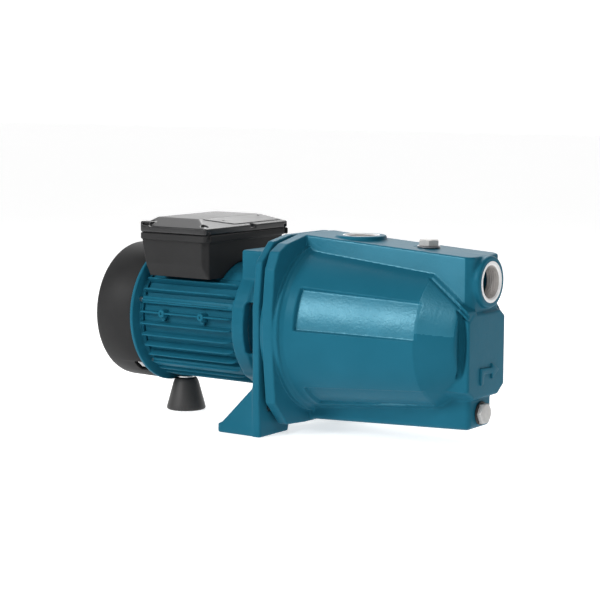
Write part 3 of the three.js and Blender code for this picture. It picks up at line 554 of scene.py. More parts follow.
def body_shape(x, y, z):
    w = np.abs(y)
    up = z - AXIS_Z
    r = np.hypot(y, up)
    turn = np.arctan2(up, w)
    flange = both(slab(x, 0, FLANGE_T), polygon(w, z, BODY_FLANGE), 1.4)
    rim = both(slab(x, -RIM_BEHIND, 4), r - 85.0, 0.6)
    body = join(flange, rim)
    sunk = recess(x, turn, 31, math.radians(3), math.radians(34), 4.2)
    sunk = sunk + recess(x, turn, 30, math.radians(-66), math.radians(-42), 3.2)
    cone = (r - cone_radius(x) + sunk) * 0.99
    cone = both(cone, slab(x, -2, NOSE_X), 1.6)
    body = join(body, cone, 1.0)

    top = (z - (TOP_Z0 - TOP_SLOPE * x)) * 0.998
    wall = np.maximum(w - CHANNEL_HALF, (w - 23 + (x - 194)) * 0.707)
    channel = both(both(np.maximum(wall, AXIS_Z - z), top, 2.0), slab(x, 4, 194), 2.0)
    body = join(body, channel, 0.7)
    block = both(slab(x, 150, BLOCK_FACE_X), polygon(w, z, FRONT_BLOCK), 2.6)
    body = join(body, block, 1.6)
    under = (10 + 0.047 * x) - z
    sump = both(both(w - 21.5, np.maximum(under, z - 70), 5.0), slab(x, 3, SUMP_FACE_X), 5.0)
    body = join(body, sump, 3.0)
    hollowed = np.sqrt(((x - 187) / 7) ** 2 + ((w - 36) / 4.5) ** 2 + ((z - AXIS_Z) / 34) ** 2)
    body = cut(body, (hollowed - 1) * 4.5, 1.0)
    across = np.abs((x - 190) * 0.63 + (z - 132.0) * 0.77)
    lug = both(both(across - 3.2, slab(x, 181.5, BLOCK_FACE_X - 0.4), 0.8), slab(-y, 20, 36.2), 0.8)
    body = join(body, lug, 0.8)
    body = cut(body, np.maximum(across - 1.0, 33.6 + y), 0.4)

    inlet = np.hypot(y, z - INLET_Z)
    body = join(body, both(inlet - PORT_BOSS_R, slab(x, 172, INLET_FACE_X - 0.2), 2.4), 2.0)
    delivery = np.hypot(x - DELIVERY_X, y)
    body = join(body, both(delivery - PORT_BOSS_R, slab(z, 160, DELIVERY_TOP_Z - 0.2), 1.6), 2.6)
    priming = np.hypot(x - PRIMING_X, y)
    body = cut(body, both(priming - 14, slab(z, TOP_Z0 - TOP_SLOPE * PRIMING_X, 210)), 0.8)
    drain = np.hypot(y, z - DRAIN_Z)

    inner = both(r - cone_radius(x) + 9, slab(x, -9, 162))
    mouth = both(r - 76, slab(x, -9, 10))
    reservoir = both(np.maximum(w - 22, AXIS_Z - z), np.maximum(top + 8, slab(x, 8, 158)))
    well = both(both(w - 17, slab(z, 84, 172), 4.0), slab(x, 172, 188))
    hollow = join(join(inner, mouth), join(reservoir, well))
    hollow = join(hollow, np.maximum(inlet - PORT_HOLE_R, slab(x, 184, 210)))
    hollow = join(hollow, np.maximum(delivery - PORT_HOLE_R, slab(z, 160, 205)))
    hollow = join(hollow, np.maximum(priming - PLUG_HOLE_R, slab(z, 160, 205)))
    hollow = join(hollow, np.maximum(drain - PLUG_HOLE_R, slab(x, 182, 205)))
    hollow = join(hollow, np.maximum(r - 13.3, slab(x, 160, 176)))
    return cut(body, hollow)


def make_pump_body():
    """The cast body. The channel's walls, the sunk panel and the upper nose get a rough-cast enamel that
    also carries a painted highlight: a lighter, glossier copy of the paint laid where the key light's
    highlight falls.
    """
    body = cast("cast_pump_body", body_shape, (-7, -90, 4), (204, 90, 198), BODY_STEP)
    body.data.materials.append(materials["paint"])
    body.data.materials.append(materials["cast"])
    mesh = body.data
    count = len(mesh.polygons)
    centre, normal = np.empty(count * 3, np.float32), np.empty(count * 3, np.float32)
    mesh.polygons.foreach_get("center", centre)
    mesh.polygons.foreach_get("normal", normal)
    x, y, z = ((centre.reshape(-1, 3) - (JOINT_X, 0, 0)) / MM).T
    across = np.abs(normal.reshape(-1, 3)[:, 1])
    # Faces that take the second material: rough-cast grain and a painted highlight on the channel walls and
    # the sunk panel.
    wall = (np.abs(np.abs(y) - CHANNEL_HALF) < 0.8) & (across > 0.9) & (x > 14)
    turn = np.degrees(np.arctan2(z - AXIS_Z, np.abs(y)))
    outside = np.hypot(y, z - AXIS_Z) > cone_radius(x) - 5.2
    panel = outside & (x > 32) & (x < SHOULDER_X + 0.5) & (turn > 3.6) & (turn < 33.4)
    # The upper nose takes the same painted highlight. It is only above the turn where the lit patch ends,
    # and carries no rough-cast reason of its own.
    nose = (np.hypot(y, z - AXIS_Z) > cone_radius(x) - 1.5) & (x > SHOULDER_X) & (x < 187)
    nose = nose & (np.abs(y) > CHANNEL_HALF + 0.5) & (turn > 9)
    mesh.polygons.foreach_set("material_index", (wall | panel | nose).astype(np.int32))
    place(body, "pump", ["pump_body"], "paint", "painted_cast_iron")


def make_port(name, axis, centre, face, land):
    """The machined face of a port, out to the radius called land, and the thread behind it."""
    profile = [(-1.3, 15.6), (0, 16.8), (0, land - 0.5), (-0.5, land), (-3, land), (-3, 17.2), (-1.3, 17.2)]
    profile = [(face + a, r) for a, r in profile]
    ring = smooth(turned(f"{name}_port_ring", profile, 72, axis, centre), 30)
    place(ring, "pump", [], "machined", "painted_cast_iron")
    profile = [(-14, 17.1), (-14, 15.4)]
    for i in range(5):
        base = -12.8 + i * PORT_PITCH
        profile += [(base, 15.2), (base + 0.45 * PORT_PITCH, 15.7), (base + 0.9 * PORT_PITCH, 15.2)]
    profile += [(-1.5, 15.4), (-1.4, 15.5), (-1.4, 17.1)]
    profile = [(face + a, r) for a, r in profile]
    thread = smooth(turned(f"{name}_port_thread", profile, 72, axis, centre), 30)
    place(thread, "pump", [], "bore", "painted_cast_iron")


def make_ports():
    make_port("inlet", "X", (0, 0, INLET_Z), INLET_FACE_X, 19.7)
    make_port("delivery", "Z", (DELIVERY_X, 0, 0), DELIVERY_TOP_Z, 18.3)


def make_arrow():
    """The raised bent flow arrow, a plain sign cast on the front block."""
    outline = [(-13, 77.2), (8, 76), (8, 80), (21.4, 72.6), (8, 65), (8, 70.4), (-7, 71.2), (-8.5, 62),
               (-13, 61)]
    arrow = prism("flow_arrow", outline, BLOCK_FACE_X - 0.7, BLOCK_FACE_X + 1.9)
    soften(arrow, 0.8, 3)
    place(smooth(arrow), "pump", [], "paint", "painted_cast_iron")


# ---------------------------------------------------------------- bracket
JOINT_BACK = -4.0
PLATE_BACK = -12.0
HUB_FACE = -38.0
BRACKET_END = -52.0
FOOT_TOE_X = -56.0
BRACKET_PLATE = [(-40, 192.5), (32, 192.5), (60, 187.5), (80, 169), (85.5, 125), (85.2, 32), (83, 0),
                 (36, 0), (32, 14), (18, 22), (-40, 22)]
BOLT_SPOTS = [(59, 168), (-59, 168), (66, 28), (-66, 28)]
TIE_ANGLES = (17, 163, 230, 310)
UPPER_RIB_HALF = 3.8
LOWER_RIB_HALF = 6.5
TIE_R = 60.5
BRACKET_STEP = 1.1


def bracket_shape(x, y, z):
    w = np.abs(y)
    r = np.hypot(y, z - AXIS_Z)
    plate = both(slab(x, PLATE_BACK, JOINT_BACK), polygon(w, z, BRACKET_PLATE), 1.3)
    neck_r = np.interp(x, [BRACKET_END, -36, -33, -18, PLATE_BACK, -8], [66.3, 66.3, 63.8, 61.8, 64, 68])
    neck = both(r - neck_r.astype(np.float32), slab(x, BRACKET_END, -7), 0.9)
    body = join(plate, neck, 3.0)
    shelf = both(both(w - 48, slab(z, 118, 176), 2.5), slab(x, BRACKET_END, -7), 1.5)
    body = join(body, shelf, 2.0)
    body = join(body, foot_shape(x, w, z), 3.0)
    body = cut(body, both(r - 57, slab(x, HUB_FACE, PLATE_BACK - 0.3)), 1.5)
    body = cut(body, np.maximum(r - 51.4, x + 46))
    window = both(both(slab(z, 76, 126), 38 - w, 3.0), slab(x, -37, -13.2), 2.0)
    body = cut(body, window, 0.8)
    body = join(body, both(r - 27, slab(x, -60, HUB_FACE + 2), 1.5), 3.0)
    body = join(body, both(r - 75.4, slab(x, -6, 2.6), 0.8))
    for y0, z0 in BOLT_SPOTS:
        body = cut(body, np.hypot(y - y0, z - z0) - 4.6)
    for angle in TIE_ANGLES:
        y0 = TIE_R * math.cos(math.radians(angle))
        z0 = AXIS_Z + TIE_R * math.sin(math.radians(angle))
        boss = np.hypot(y - y0 * 0.97, z - AXIS_Z - (z0 - AXIS_Z) * 0.97)
        body = join(body, both(boss - 8, slab(x, BRACKET_END, HUB_FACE), 1.0), 2.0)
        body = cut(body, np.maximum(np.hypot(y - y0, z - z0) - 3.4, x - HUB_FACE + 3))
    body = cut(body, np.maximum(r - 21.2, x + 44.5))
    body = cut(body, np.maximum(r - 13, slab(x, -50, -30)))
    return cut(body, np.maximum(r - 18, slab(x, PLATE_BACK - 1, 5)))


def foot_shape(x, w, z):
    pad = both(both(slab(x, FOOT_TOE_X, -6), slab(w, 36, 83.4), 3.5), slab(z, 0, 9), 1.4)
    toe = FOOT_TOE_X + 4
    side = polygon(x, z, [(-8, 53), (PLATE_BACK + 2, 51), (toe, 9), (toe, 3), (-8, 3)])
    webs = join(both(slab(w, 74.5, 83.4), side, 1.3), both(slab(w, 36, 42.5), side, 1.3))
    foot = join(pad, webs, 3.0)
    slot = np.hypot(np.maximum(slab(x, -38, -30), 0), w - 58) - 5
    return cut(foot, np.maximum(slot, z - 11), 0.6)


def make_bracket():
    bracket = cast("cast_motor_bracket", bracket_shape, (-62, -88, -2), (4, 88, 195), BRACKET_STEP)
    place(bracket, "pump", ["motor_bracket"], "paint", "painted_cast_iron")


def make_flange_bolts():
    for i, (y, z) in enumerate(BOLT_SPOTS, 1):
        back = PLATE_BACK - 0.3
        head = hexagon_head(f"flange_bolt_head_{i}", "X", (0, y, z), back - 5.5, back, 7.5, -1)
        profile = [(back - 1, 0), (back - 1, 4), (7, 4), (8, 3), (8, 0)]
        shank = turned("shank", profile, 24, "X", (0, y, z), False)
        bolt = join_pieces(f"hex_flange_bolt_{i}", [head, shank])
        place(smooth(bolt), "pump", [f"flange_bolt_{i}"], "zinc", "zinc_steel")


def hexagon_head(name, axis, centre, low, high, corner_r, outwards):
    """A hexagon head whose outer corners are turned off. Outwards is +1 or -1 along the axis."""
    turns = [i * math.pi / 3 for i in range(6)]
    outline = [(corner_r * math.cos(turn), corner_r * math.sin(turn)) for turn in turns]
    if axis == "X":
        outline = [(a + centre[1], b + centre[2]) for a, b in outline]
    else:
        outline = [(a + centre[0], b + centre[1]) for a, b in outline]
    head = prism(name, outline, low, high, axis)
    face, seat = (high, low) if outwards > 0 else (low, high)
    flat_r = corner_r * 0.82
    profile = [(face, 0), (face, flat_r), (face - outwards * corner_r * 0.11, corner_r * 1.01),
               (seat, corner_r * 1.01), (seat, 0)]
    carve(head, [turned("cone", profile, 96, axis, centre, False)], "INTERSECT")
    return soften(head, 0.18, 2, 30)


# ---------------------------------------------------------------- motor
BARREL_R = 57.5
BARREL_REAR_X = -167.7
BARREL_FRONT_X = -54.4
FIN_TIP_R = 65.7
FIN_COUNT = 34
FIN_TURN = 0.09
BORE_R = 52.0
SHIELD_X = -176.0
SHIELD_RIM_R = 71.8
COVER_R = 70.6
COVER_T = 2.2
COVER_FRONT_X = SHIELD_X - 0.3
COVER_END_X = -224.4
NOTCH_ANGLE = 50
RUBBER_FOOT_X = -160.0
RUBBER_FOOT_H = 33.0


def fin_loop(x, height):
    """One section through the finned barrel, its fins the given share of their full height."""
    tip = BARREL_R + (FIN_TIP_R - BARREL_R) * height
    flank = BARREL_R + (FIN_TIP_R - BARREL_R) * height * 0.25
    pitch = FULL_TURN / FIN_COUNT
    half = [(0.5 * pitch, BARREL_R - 0.2), (1.6 / 58, BARREL_R), (1.05 / 58, flank), (0.8 / 65, tip - 0.45),
            (0.35 / 65, tip)]
    points = []
    for i in range(FIN_COUNT):
        middle = math.pi + FIN_TURN - i * pitch
        for turn, r in half[1:] + [(-a, b) for a, b in reversed(half)]:
            points.append((x, r * math.cos(middle + turn), AXIS_Z + r * math.sin(middle + turn)))
    return points


def finned_barrel():
    stations = [(BARREL_REAR_X, 0.9), (BARREL_REAR_X + 0.8, 1), (-66, 1), (-60, 0.93), (-57, 0.7),
                (-55.2, 0.3), (BARREL_FRONT_X, 0.05)]
    loops = [fin_loop(x, height) for x, height in stations]
    for x in (BARREL_FRONT_X, BARREL_REAR_X):
        bore = []
        for _, y, z in loops[0]:
            turn = math.atan2(z - AXIS_Z, y)
            bore.append((x, BORE_R * math.cos(turn), AXIS_Z + BORE_R * math.sin(turn)))
        loops.append(bore)
    count = len(loops[0])
    faces = []
    for a in range(len(loops)):
        b = (a + 1) % len(loops)
        for i in range(count):
            j = (i + 1) % count
            faces.append((a * count + i, a * count + j, b * count + j, b * count + i))
    return tidy(mesh_object("barrel", [p for loop in loops for p in loop], faces))


def long_rib(half, top, x0, x1, degrees):
    """A wide rib along the barrel, so many degrees round from straight up."""
    base = AXIS_Z + 55
    outline = [(-half, base), (-half, AXIS_Z + top - 1.2), (-half + 1.2, AXIS_Z + top),
               (half - 1.2, AXIS_Z + top), (half, AXIS_Z + top - 1.2), (half, base)]
    rib = soften(prism("rib", outline, x0, x1), 0.5, 2, 20)
    return about_shaft(rib, degrees)


def plate_boss(x, side):
    """A teardrop boss with a screw hole, on the fin that carries the rating plate."""
    turn = math.degrees(FIN_TURN)
    profile = [(-5, 1.3), (-5, 4.6), (3.0, 3.9), (3.7, 3.2), (3.7, 1.3)]
    centre = (x, 0, AXIS_Z + 62.6)
    boss = turned("boss", profile, 32, "Z", centre)
    tail = [(x - 3.8, -1.4), (x + 3.8, -1.4), (x + 1, -7.5), (x - 2, -7.5)]
    tail = soften(prism("tail", tail, AXIS_Z + 57, AXIS_Z + 61.5, "Z"), 0.6, 2)
    carve(tail, [turned("clear", [(-9, 0), (-9, 3), (5, 3), (5, 0)], 32, "Z", centre, False)])
    return [about_shaft(boss, side * (90 - turn)), about_shaft(tail, side * (90 - turn))]


def make_motor_housing():
    ring = [(-57, 55), (-57, 58), (-56.4, 58.6), (-53, 58.6), (-52.4, 58), (-52.4, BORE_R), (-57, BORE_R)]
    under_box = [(-49, AXIS_Z + 42), (49, AXIS_Z + 42), (49, AXIS_Z + 75), (-49, AXIS_Z + 75)]
    under_box = prism("under_box", under_box, BOX_X[1] - 3.6, -52)
    tube = [(-100, 0), (-100, BARREL_R + 0.1), (-50, BARREL_R + 0.1), (-50, 0)]
    carve(under_box, [turned("tube", tube, 128, closed=False)])
    pieces = [carve(finned_barrel(), [under_box]), turned("ring", ring, 96)]
    for angle in TIE_ANGLES:
        half = UPPER_RIB_HALF if angle < 180 else LOWER_RIB_HALF
        pieces.append(long_rib(half, 63.6, BARREL_REAR_X, -53.4, angle - 90))
    for x in (-140, -90.5):
        pieces += plate_boss(x, 1)
    pad = [(-140, -17), (-104, -17), (-104, 17), (-140, 17)]
    pad = prism("pad", pad, AXIS_Z + 53, AXIS_Z + 63.4, "Z")
    way = [(-131, -8), (-113, -8), (-113, 8), (-131, 8)]
    way = prism("way", way, AXIS_Z + 40, AXIS_Z + 70, "Z")
    end = RUBBER_FOOT_H + 2.4
    boss = [(end, 3.3), (end, 7), (end + 0.6, 7.4), (48, 7.8), (48, 3.3)]
    pieces += [carve(pad, [way]), turned("boss", boss, 40, "Z", (RUBBER_FOOT_X, 0, 0))]
    housing = smooth(join_pieces("finned_motor_housing", pieces), 30)
    place(housing, "pump", ["motor_housing"], "paint", "painted_aluminium")


def make_end_shield():
    profile = [(SHIELD_X, 24), (SHIELD_X, SHIELD_RIM_R - 0.8), (SHIELD_X + 0.8, SHIELD_RIM_R),
               (SHIELD_X + 2.8, SHIELD_RIM_R), (SHIELD_X + 3.6, SHIELD_RIM_R - 0.8), (SHIELD_X + 3.8, 60.6),
               (SHIELD_X + 4.4, 60), (-168.2, 60), (-168.2, 51.4), (-164, 51.4), (-164, 46), (-171, 46),
               (-171, 24)]
    rim = turned("rim", profile, 112)
    hub = [(-187, 13), (-187, 24), (-186, 25), (-171, 27), (-171, 21), (-184, 21), (-184, 13)]
    shield = smooth(join_pieces("painted_end_shield", [rim, turned("hub", hub, 64)]), 30)
    place(shield, "pump", ["rear_end_shield"], "paint", "painted_aluminium")
    for side, label in ((1, "near"), (-1, "far")):
        outline = [(-2.4, AXIS_Z + 64.6), (-2.4, AXIS_Z + 69), (-1.6, AXIS_Z + 69.8), (5.8, AXIS_Z + 69.8),
                   (6.6, AXIS_Z + 69), (6.6, AXIS_Z + 64.6)]
        lug = soften(prism(f"bare_lug_{label}", outline, SHIELD_X - 7.0, SHIELD_X - 0.2), 0.7, 3, 20)
        about_shaft(lug, side * (90 + NOTCH_ANGLE))
        place(smooth(lug), "pump", [], "aluminium", "painted_aluminium")


def make_fan_cover():
    front, back = COVER_FRONT_X, COVER_END_X
    inner = COVER_R - COVER_T
    profile = [(front, inner), (front, COVER_R - 0.4), (front - 0.5, COVER_R), (back + 8, COVER_R - 0.4)]
    for step in range(7):
        turn = math.radians(15 * step)
        profile.append((back + 6 - 6 * math.sin(turn), COVER_R - 6.6 + 6 * math.cos(turn)))
    profile += [(back + 0.6, 63), (back + 0.6, 18), (back, 16.5), (back, 0), (back + COVER_T, 0),
                (back + COVER_T, 62.5)]
    for step in range(5):
        turn = math.radians(90 - 22.5 * step)
        profile.append((back + 6 - 3.8 * math.sin(turn), COVER_R - 6.6 + 3.8 * math.cos(turn)))
    cover = turned("moulded_fan_cover", profile, 120, closed=True)
    slots = []
    for i in range(20):
        slot = [(-2.4, AXIS_Z + 22), (-1.2, AXIS_Z + 20.4), (1.2, AXIS_Z + 20.4), (2.4, AXIS_Z + 22),
                (3.4, AXIS_Z + 57.6), (1.8, AXIS_Z + 60), (-1.8, AXIS_Z + 60), (-3.4, AXIS_Z + 57.6)]
        slots.append(about_shaft(prism("slot", slot, back - 2, back + 4), i * 18))
    for side in (-1, 1):
        notch = [(-8, AXIS_Z + 62), (8, AXIS_Z + 62), (8, AXIS_Z + 80), (-8, AXIS_Z + 80)]
        notch = soften(prism("notch", notch, front - 12, front + 4), 2.5, 3)
        slots.append(about_shaft(notch, side * (90 + NOTCH_ANGLE)))
    carve(cover, [join_pieces("slots", slots)])
    soften(cover, 0.35, 2, 50)
    place(smooth(cover), "pump", ["fan_cover"], "black", "black_plastic")


def make_fan():
    hub = [(-214, 6.9), (-214, 12), (-213, 13), (-203, 15), (-200.4, 19), (-200, 40), (-198, 40),
           (-198, 6.9)]
    pieces = [turned("hub", hub, 64)]
    for i in range(8):
        outline = [(-1.1, AXIS_Z + 13.5), (-0.7, AXIS_Z + 60), (0.7, AXIS_Z + 60), (1.1, AXIS_Z + 13.5)]
        blade = soften(prism("blade", outline, -213.6, -199), 0.4, 2)
        pieces.append(about_shaft(blade, i * 45))
    fan = smooth(join_pieces("moulded_fan", pieces), 35)
    place(fan, "rotor", ["cooling_fan"], "black", "black_plastic")


def make_shaft():
    profile = [(-212, 0), (-212, 5.7), (-211.2, 6.5), (-188, 6.5), (-188, 8.2), (-165, 8.2), (-165, 10),
               (-62, 10), (-62, 8.2), (-40, 8.2), (-40, 8), (22.2, 8), (22.2, 4.9), (30, 4.9), (30, 0)]
    shaft = turned("turned_shaft", profile, 48, closed=False)
    keyway = [(8, -2.2), (19, -2.2), (19, 2.2), (8, 2.2)]
    carve(shaft, [prism("keyway", keyway, AXIS_Z + 5.4, AXIS_Z + 12, "Z")])
    place(smooth(shaft, 30), "rotor", ["shaft"], "steel", "machined_steel")
    profile = [(-31, 8.3), (-31, 11.4), (-30.4, 12), (-28.8, 12), (-27.6, 18.5), (-27.2, 19), (-26.4, 19),
               (-26, 18.4), (-26, 8.3)]
    slinger = smooth(turned("moulded_slinger", profile, 64), 30)
    place(slinger, "rotor", ["slinger"], "rubber", "seal_rubber")


# ---------------------------------------------------------------- terminal box
BOX_X = (-161.0, -81.0)
BOX_HALF = 68.0
BOX_FLOOR_R = 66.6
BAND_LOW_Z = 182.5
BAND_TOP_Z = 189.2
LID_EDGE_Z = 195.8
LID_FRONT_RUN = 23.0
LID_SCREW_SPOTS = [(-155, 62), (-155, -62), (-87, 62), (-87, -62)]
GLAND = (0, 44, 174)
BOX_STEP = 0.85
LID_STEP = 0.75
BOX_SECTION = [(-20, BAND_TOP_Z), (BOX_HALF, BAND_TOP_Z), (BOX_HALF, 160), (62, 145.5), (50, 145.5),
               (50, 130), (-20, 130)]


def corner_pocket(x, w):
    """A narrow upright groove beside each corner of the box."""
    return np.maximum(np.abs(w - 64.5) - 1.9, -slab(x, BOX_X[0] + 0.6, BOX_X[1] - 0.6))


def plan(w, x, half, low_x, high_x, corner):
    """A rectangle seen from above with its corners cut off."""
    ends = slab(x, low_x, high_x)
    return both(both(w - half, ends, 0.6), (w - half + ends + corner) * 0.707, 0.6)


def box_shape(x, y, z):
    w = np.abs(y)
    r = np.hypot(y, z - AXIS_Z)
    rear = BOX_X[0] + np.interp(z, [146, 160, 181.5], [4.5, 2.5, -2.2]).astype(np.float32)
    walls = plan(w, x, BOX_HALF - 0.8, rear, BOX_X[1] - 0.4, step_up(x, -140, -100) * 5 + 0.8)
    tray = both(walls, polygon(w, z, BOX_SECTION), 0.7)
    band = plan(w, x, BOX_HALF + 3.3, BOX_X[0] - 2.3, BOX_X[1] + 2.3, 3.0)
    tray = join(tray, both(band, slab(z, BAND_LOW_Z, BAND_TOP_Z), 0.5), 0.6)
    tray = cut(tray, np.maximum(corner_pocket(x, w), slab(z, 180, 192)), 0.3)
    floor_r = np.where(x > BOX_X[1] - 3.2, BARREL_R + 0.9, BOX_FLOOR_R)
    tray = cut(tray, r - floor_r, 0.5)
    hollow = both(plan(w, x, BOX_HALF - 3.2, rear + 3, BOX_X[1] - 3.2, 7.0), slab(z, 171.6, 200))
    tray = cut(tray, hollow)
    gland = np.hypot(y - GLAND[1], z - GLAND[2])
    tray = join(tray, both(gland - 11.6, slab(x, BOX_X[0], BOX_X[0] + 9), 0.8), 1.0)
    return cut(tray, np.maximum(gland - 8.4, x + 150))


def lid_shape(x, y, z):
    w = np.abs(y)
    x0, x1 = BOX_X[0] - 1.4, BOX_X[1] + 1.4
    outline = plan(w, x, BOX_HALF + 2.2, x0, x1, 2.4)
    roof = z - LID_TOP_Z
    for run, inset in ((x1 - x, LID_FRONT_RUN), (x - x0, 7), (70.2 + y, 20), (70.2 - y, 24)):
        rise = (LID_TOP_Z - LID_EDGE_Z) / inset
        roof = both(roof, (z - LID_EDGE_Z - run * rise) / math.hypot(1, rise), 0.4)
    ears = both(both(slab(w, 60, BOX_HALF + 2.2), slab(x, x0, x0 + 13), 1.2), slab(z, 190, 200.4), 1.2)
    lid = join(both(outline, np.maximum(roof, BAND_TOP_Z + 0.5 - z), 0.5), ears, 1.5)
    lid = cut(lid, np.maximum(np.maximum(slab(z, 197.1, 198.9), 67.4 - w), slab(x, x0 + 2.5, x0 + 11)), 0.2)
    rim = plan(w, x, 64, x0 + 6, x1 - 6, 2.4)
    lid = join(lid, both(rim, slab(z, 186.5, 192)))
    hollow = both(plan(w, x, 61, x0 + 9, x1 - 9, 2.4), slab(z, 180, 192.4))
    lid = cut(lid, hollow)
    lid = cut(lid, np.maximum(corner_pocket(x, w), slab(z, 185, 193)), 0.3)
    for screw_x, screw_y in LID_SCREW_SPOTS:
        away = np.hypot(x - screw_x, y - screw_y)
        lid = cut(lid, np.maximum(away - 3.6, 194.0 - z), 0.3)
        lid = cut(lid, away - 2.3)
    latch = np.hypot(x - x1 - 0.5, y - 9) - 4.2
    return cut(lid, np.maximum(latch, 193.2 - z), 0.5)


def make_lid_plate():
    """A blank pale rating plate on the front slope of the lid, held by two small rivets."""
    x1 = BOX_X[1] + 1.4
    rise = (LID_TOP_Z - LID_EDGE_Z) / LID_FRONT_RUN
    corners = [(-20.5, -48), (-20.5, 47), (-4.5, 62), (-4.5, -16), (-8, -24), (-13, -34), (-18, -43)]
    plate = prism("blank_rating_plate", [(x1 + a, b) for a, b in corners], 0, 0.6, "Z")
    rivets = []
    for along, across in ((-13, -24), (-17, 40)):
        profile = [(0.3, 0), (0.3, 1.3), (0.9, 1.2), (1.3, 0.7), (1.4, 0)]
        rivets.append(turned("rivet", profile, 24, "Z", (x1 + along, across, 0), False))
    plate = join_pieces("blank_rating_plate", [soften(plate, 0.2, 2), *rivets])
    for point in plate.data.vertices:
        point.co.z += (LID_EDGE_Z + 0.1) * MM - (point.co.x - JOINT_X - x1 * MM) * rise
    place(smooth(plate, 30), "pump", [], "plate", "black_plastic")


def make_terminal_box():
    tray = cast("moulded_terminal_box", box_shape, (-165, -73, 145), (-77, 73, 191), BOX_STEP)
    place(tray, "pump", ["terminal_box_base"], "black", "black_plastic")
    lid = cast("moulded_terminal_lid", lid_shape, (-164, -72, 185), (-78, 72, 206), LID_STEP)
    place(lid, "pump", ["terminal_box_lid"], "lid", "black_plastic")
    make_lid_plate()
    for i, (x, y) in enumerate(LID_SCREW_SPOTS, 1):
        place(pan_screw(f"lid_pan_screw_{i}", x, y), "pump", [f"lid_screw_{i}"], "lamination", "zinc_steel")


def pan_screw(name, x, y):
    profile = [(177, 0), (177, 1.6), (194.3, 1.6), (194.3, 3), (196, 3.1), (196.8, 2.6), (197.3, 1.4),
               (197.4, 0)]
    screw = turned(name, profile, 40, "Z", (x, y, 0), False)
    arms = []
    for along, across in ((2.1, 0.5), (0.5, 2.1)):
        signs = [(-1, -1), (1, -1), (1, 1), (-1, 1)]
        arm = [(x + a * along, y + b * across) for a, b in signs]
        arms.append(prism("arm", arm, 196, 199, "Z"))
    return smooth(carve(screw, arms), 30)


def make_gland():
    y, z = GLAND[1:]
    x0 = BOX_X[0]
    profile = [(x0 - 4, 5), (x0 - 4, 10.2), (x0 - 3.6, 10.6), (x0 - 0.7, 10.6), (x0 - 0.3, 10.2),
               (x0 - 0.3, 8), (x0 + 7, 8), (x0 + 7, 5)]
    body = smooth(turned("moulded_gland", profile, 56, "X", (0, y, z)), 30)
    place(body, "pump", ["cable_gland"], "black", "black_plastic")
    profile = [(x0 - 15, 4.2), (x0 - 15, 6.6), (x0 - 14.4, 7.4), (x0 - 12.2, 9.4), (x0 - 11.4, 9.9),
               (x0 - 4.8, 9.9), (x0 - 4.3, 9.4), (x0 - 4.3, 4.2)]
    nut = turned("moulded_gland_nut", profile, 56, "X", (0, y, z))
    flutes = []
    for i in range(14):
        turn = FULL_TURN * i / 14
        centre = (0, y + 10.3 * math.cos(turn), z + 10.3 * math.sin(turn))
        rod = [(x0 - 11.6, 0), (x0 - 11.6, 0.8), (x0 - 3, 0.8), (x0 - 3, 0)]
        flutes.append(turned("flute", rod, 12, "X", centre, False))
    carve(nut, [join_pieces("flutes", flutes)])
    place(smooth(nut, 30), "pump", ["gland_nut"], "black", "black_plastic")


# ---------------------------------------------------------------- rear foot and plugs
def make_rear_foot():
    centre = (RUBBER_FOOT_X, 0, 0)
    h = RUBBER_FOOT_H
    profile = [(0, 8.2), (0, 19.2), (0.5, 20), (1.4, 20.2), (3.2, 20), (h - 5, 13.4), (h - 2.6, 12.4),
               (h - 1, 11.6), (h, 10.2), (h, 3.4), (12, 3.4), (12, 8.2)]
    foot = smooth(turned("moulded_rubber_foot", profile, 72, "Z", centre), 25)
    place(foot, "pump", ["rubber_foot"], "rubber", "foot_rubber")
    profile = [(h + 0.3, 3.4), (h + 0.3, 8.8), (h + 0.5, 9), (h + 1.8, 9), (h + 2, 8.8), (h + 2, 3.4)]
    washer = smooth(turned("turned_foot_washer", profile, 56, "Z", centre), 30)
    place(washer, "pump", ["foot_washer"], "zinc", "zinc_steel")
    head = hexagon_head("foot_screw_head", "Z", centre, 7, 11.7, 6.5, -1)
    shank = turned("shank", [(11, 0), (11, 3), (45, 3), (45, 0)], 32, "Z", centre, False)
    screw = smooth(join_pieces("hex_foot_screw", [head, shank]), 30)
    place(screw, "pump", ["foot_screw"], "zinc", "zinc_steel")


PLUG_PITCH = 1.337


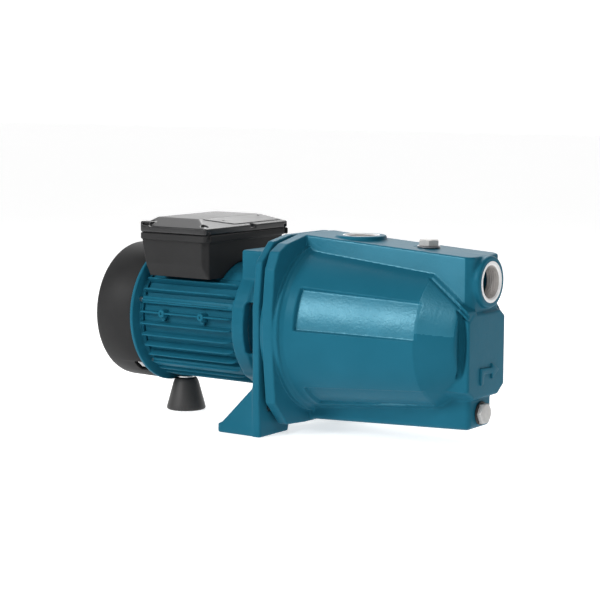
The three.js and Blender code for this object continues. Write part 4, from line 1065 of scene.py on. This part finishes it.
def make_plugs():
    seat = TOP_Z0 - TOP_SLOPE * PRIMING_X + 0.3
    make_plug("priming", "Z", (PRIMING_X, 0, 0), seat, 5.6, "aluminium")
    make_plug("drain", "X", (0, 0, DRAIN_Z), SUMP_FACE_X + 0.3, 4.6, "rubber")


def make_plug(name, axis, centre, seat, head_height, washer_look):
    """A hexagon plug and its washer, seated so far along the axis."""
    top = seat + 1.6
    profile = [(seat, 6.6), (seat, 10.7), (seat + 0.3, 11), (top - 0.3, 11), (top, 10.7), (top, 6.6)]
    washer = smooth(turned(f"{name}_sealing_washer", profile, 64, axis, centre), 30)
    place(washer, f"{name}_washer", [f"{name}_plug_washer"], washer_look, "fibre_washer")
    head = hexagon_head("head", axis, centre, top + 0.3, top + 0.3 + head_height, 10.4, 1)
    profile = [(seat - 8, 0), (seat - 8, 5.0)]
    for i in range(6):
        base = seat - 7.2 + i * PLUG_PITCH
        profile += [(base, 5.3), (base + 0.6, 6.15), (base + 1.2, 5.3)]
    profile += [(top + 1, 5.4), (top + 1, 0)]
    thread = turned("thread", profile, 40, axis, centre, False)
    plug = smooth(join_pieces(f"hex_{name}_plug", [head, thread]), 30)
    place(plug, f"{name}_plug", [f"{name}_plug"], "plug", "zinc_steel")


# ---------------------------------------------------------------- run
materials = make_materials()
studio()
make_pump_body()
make_ports()
make_arrow()
make_bracket()
make_flange_bolts()
make_motor_housing()
make_end_shield()
make_fan_cover()
make_fan()
make_shaft()
make_terminal_box()
make_gland()
make_rear_foot()
make_plugs()

SLOT_LOOKS = {
    "painted_cast_iron": "paint", "painted_aluminium": "paint", "black_plastic": "black",
    "white_polymer": "white", "seal_rubber": "rubber", "foot_rubber": "rubber", "zinc_steel": "zinc",
    "machined_steel": "steel", "lamination": "lamination", "copper_winding": "copper", "brass": "brass",
    "ceramic": "ceramic", "carbon": "black", "fibre_washer": "fibre",
}
for part in frame["record"]["subparts"]:
    node = frame["nodes"][part["node"]]
    node.data.materials.clear()
    node.data.materials.append(materials[SLOT_LOOKS[part["material_slot"]]])
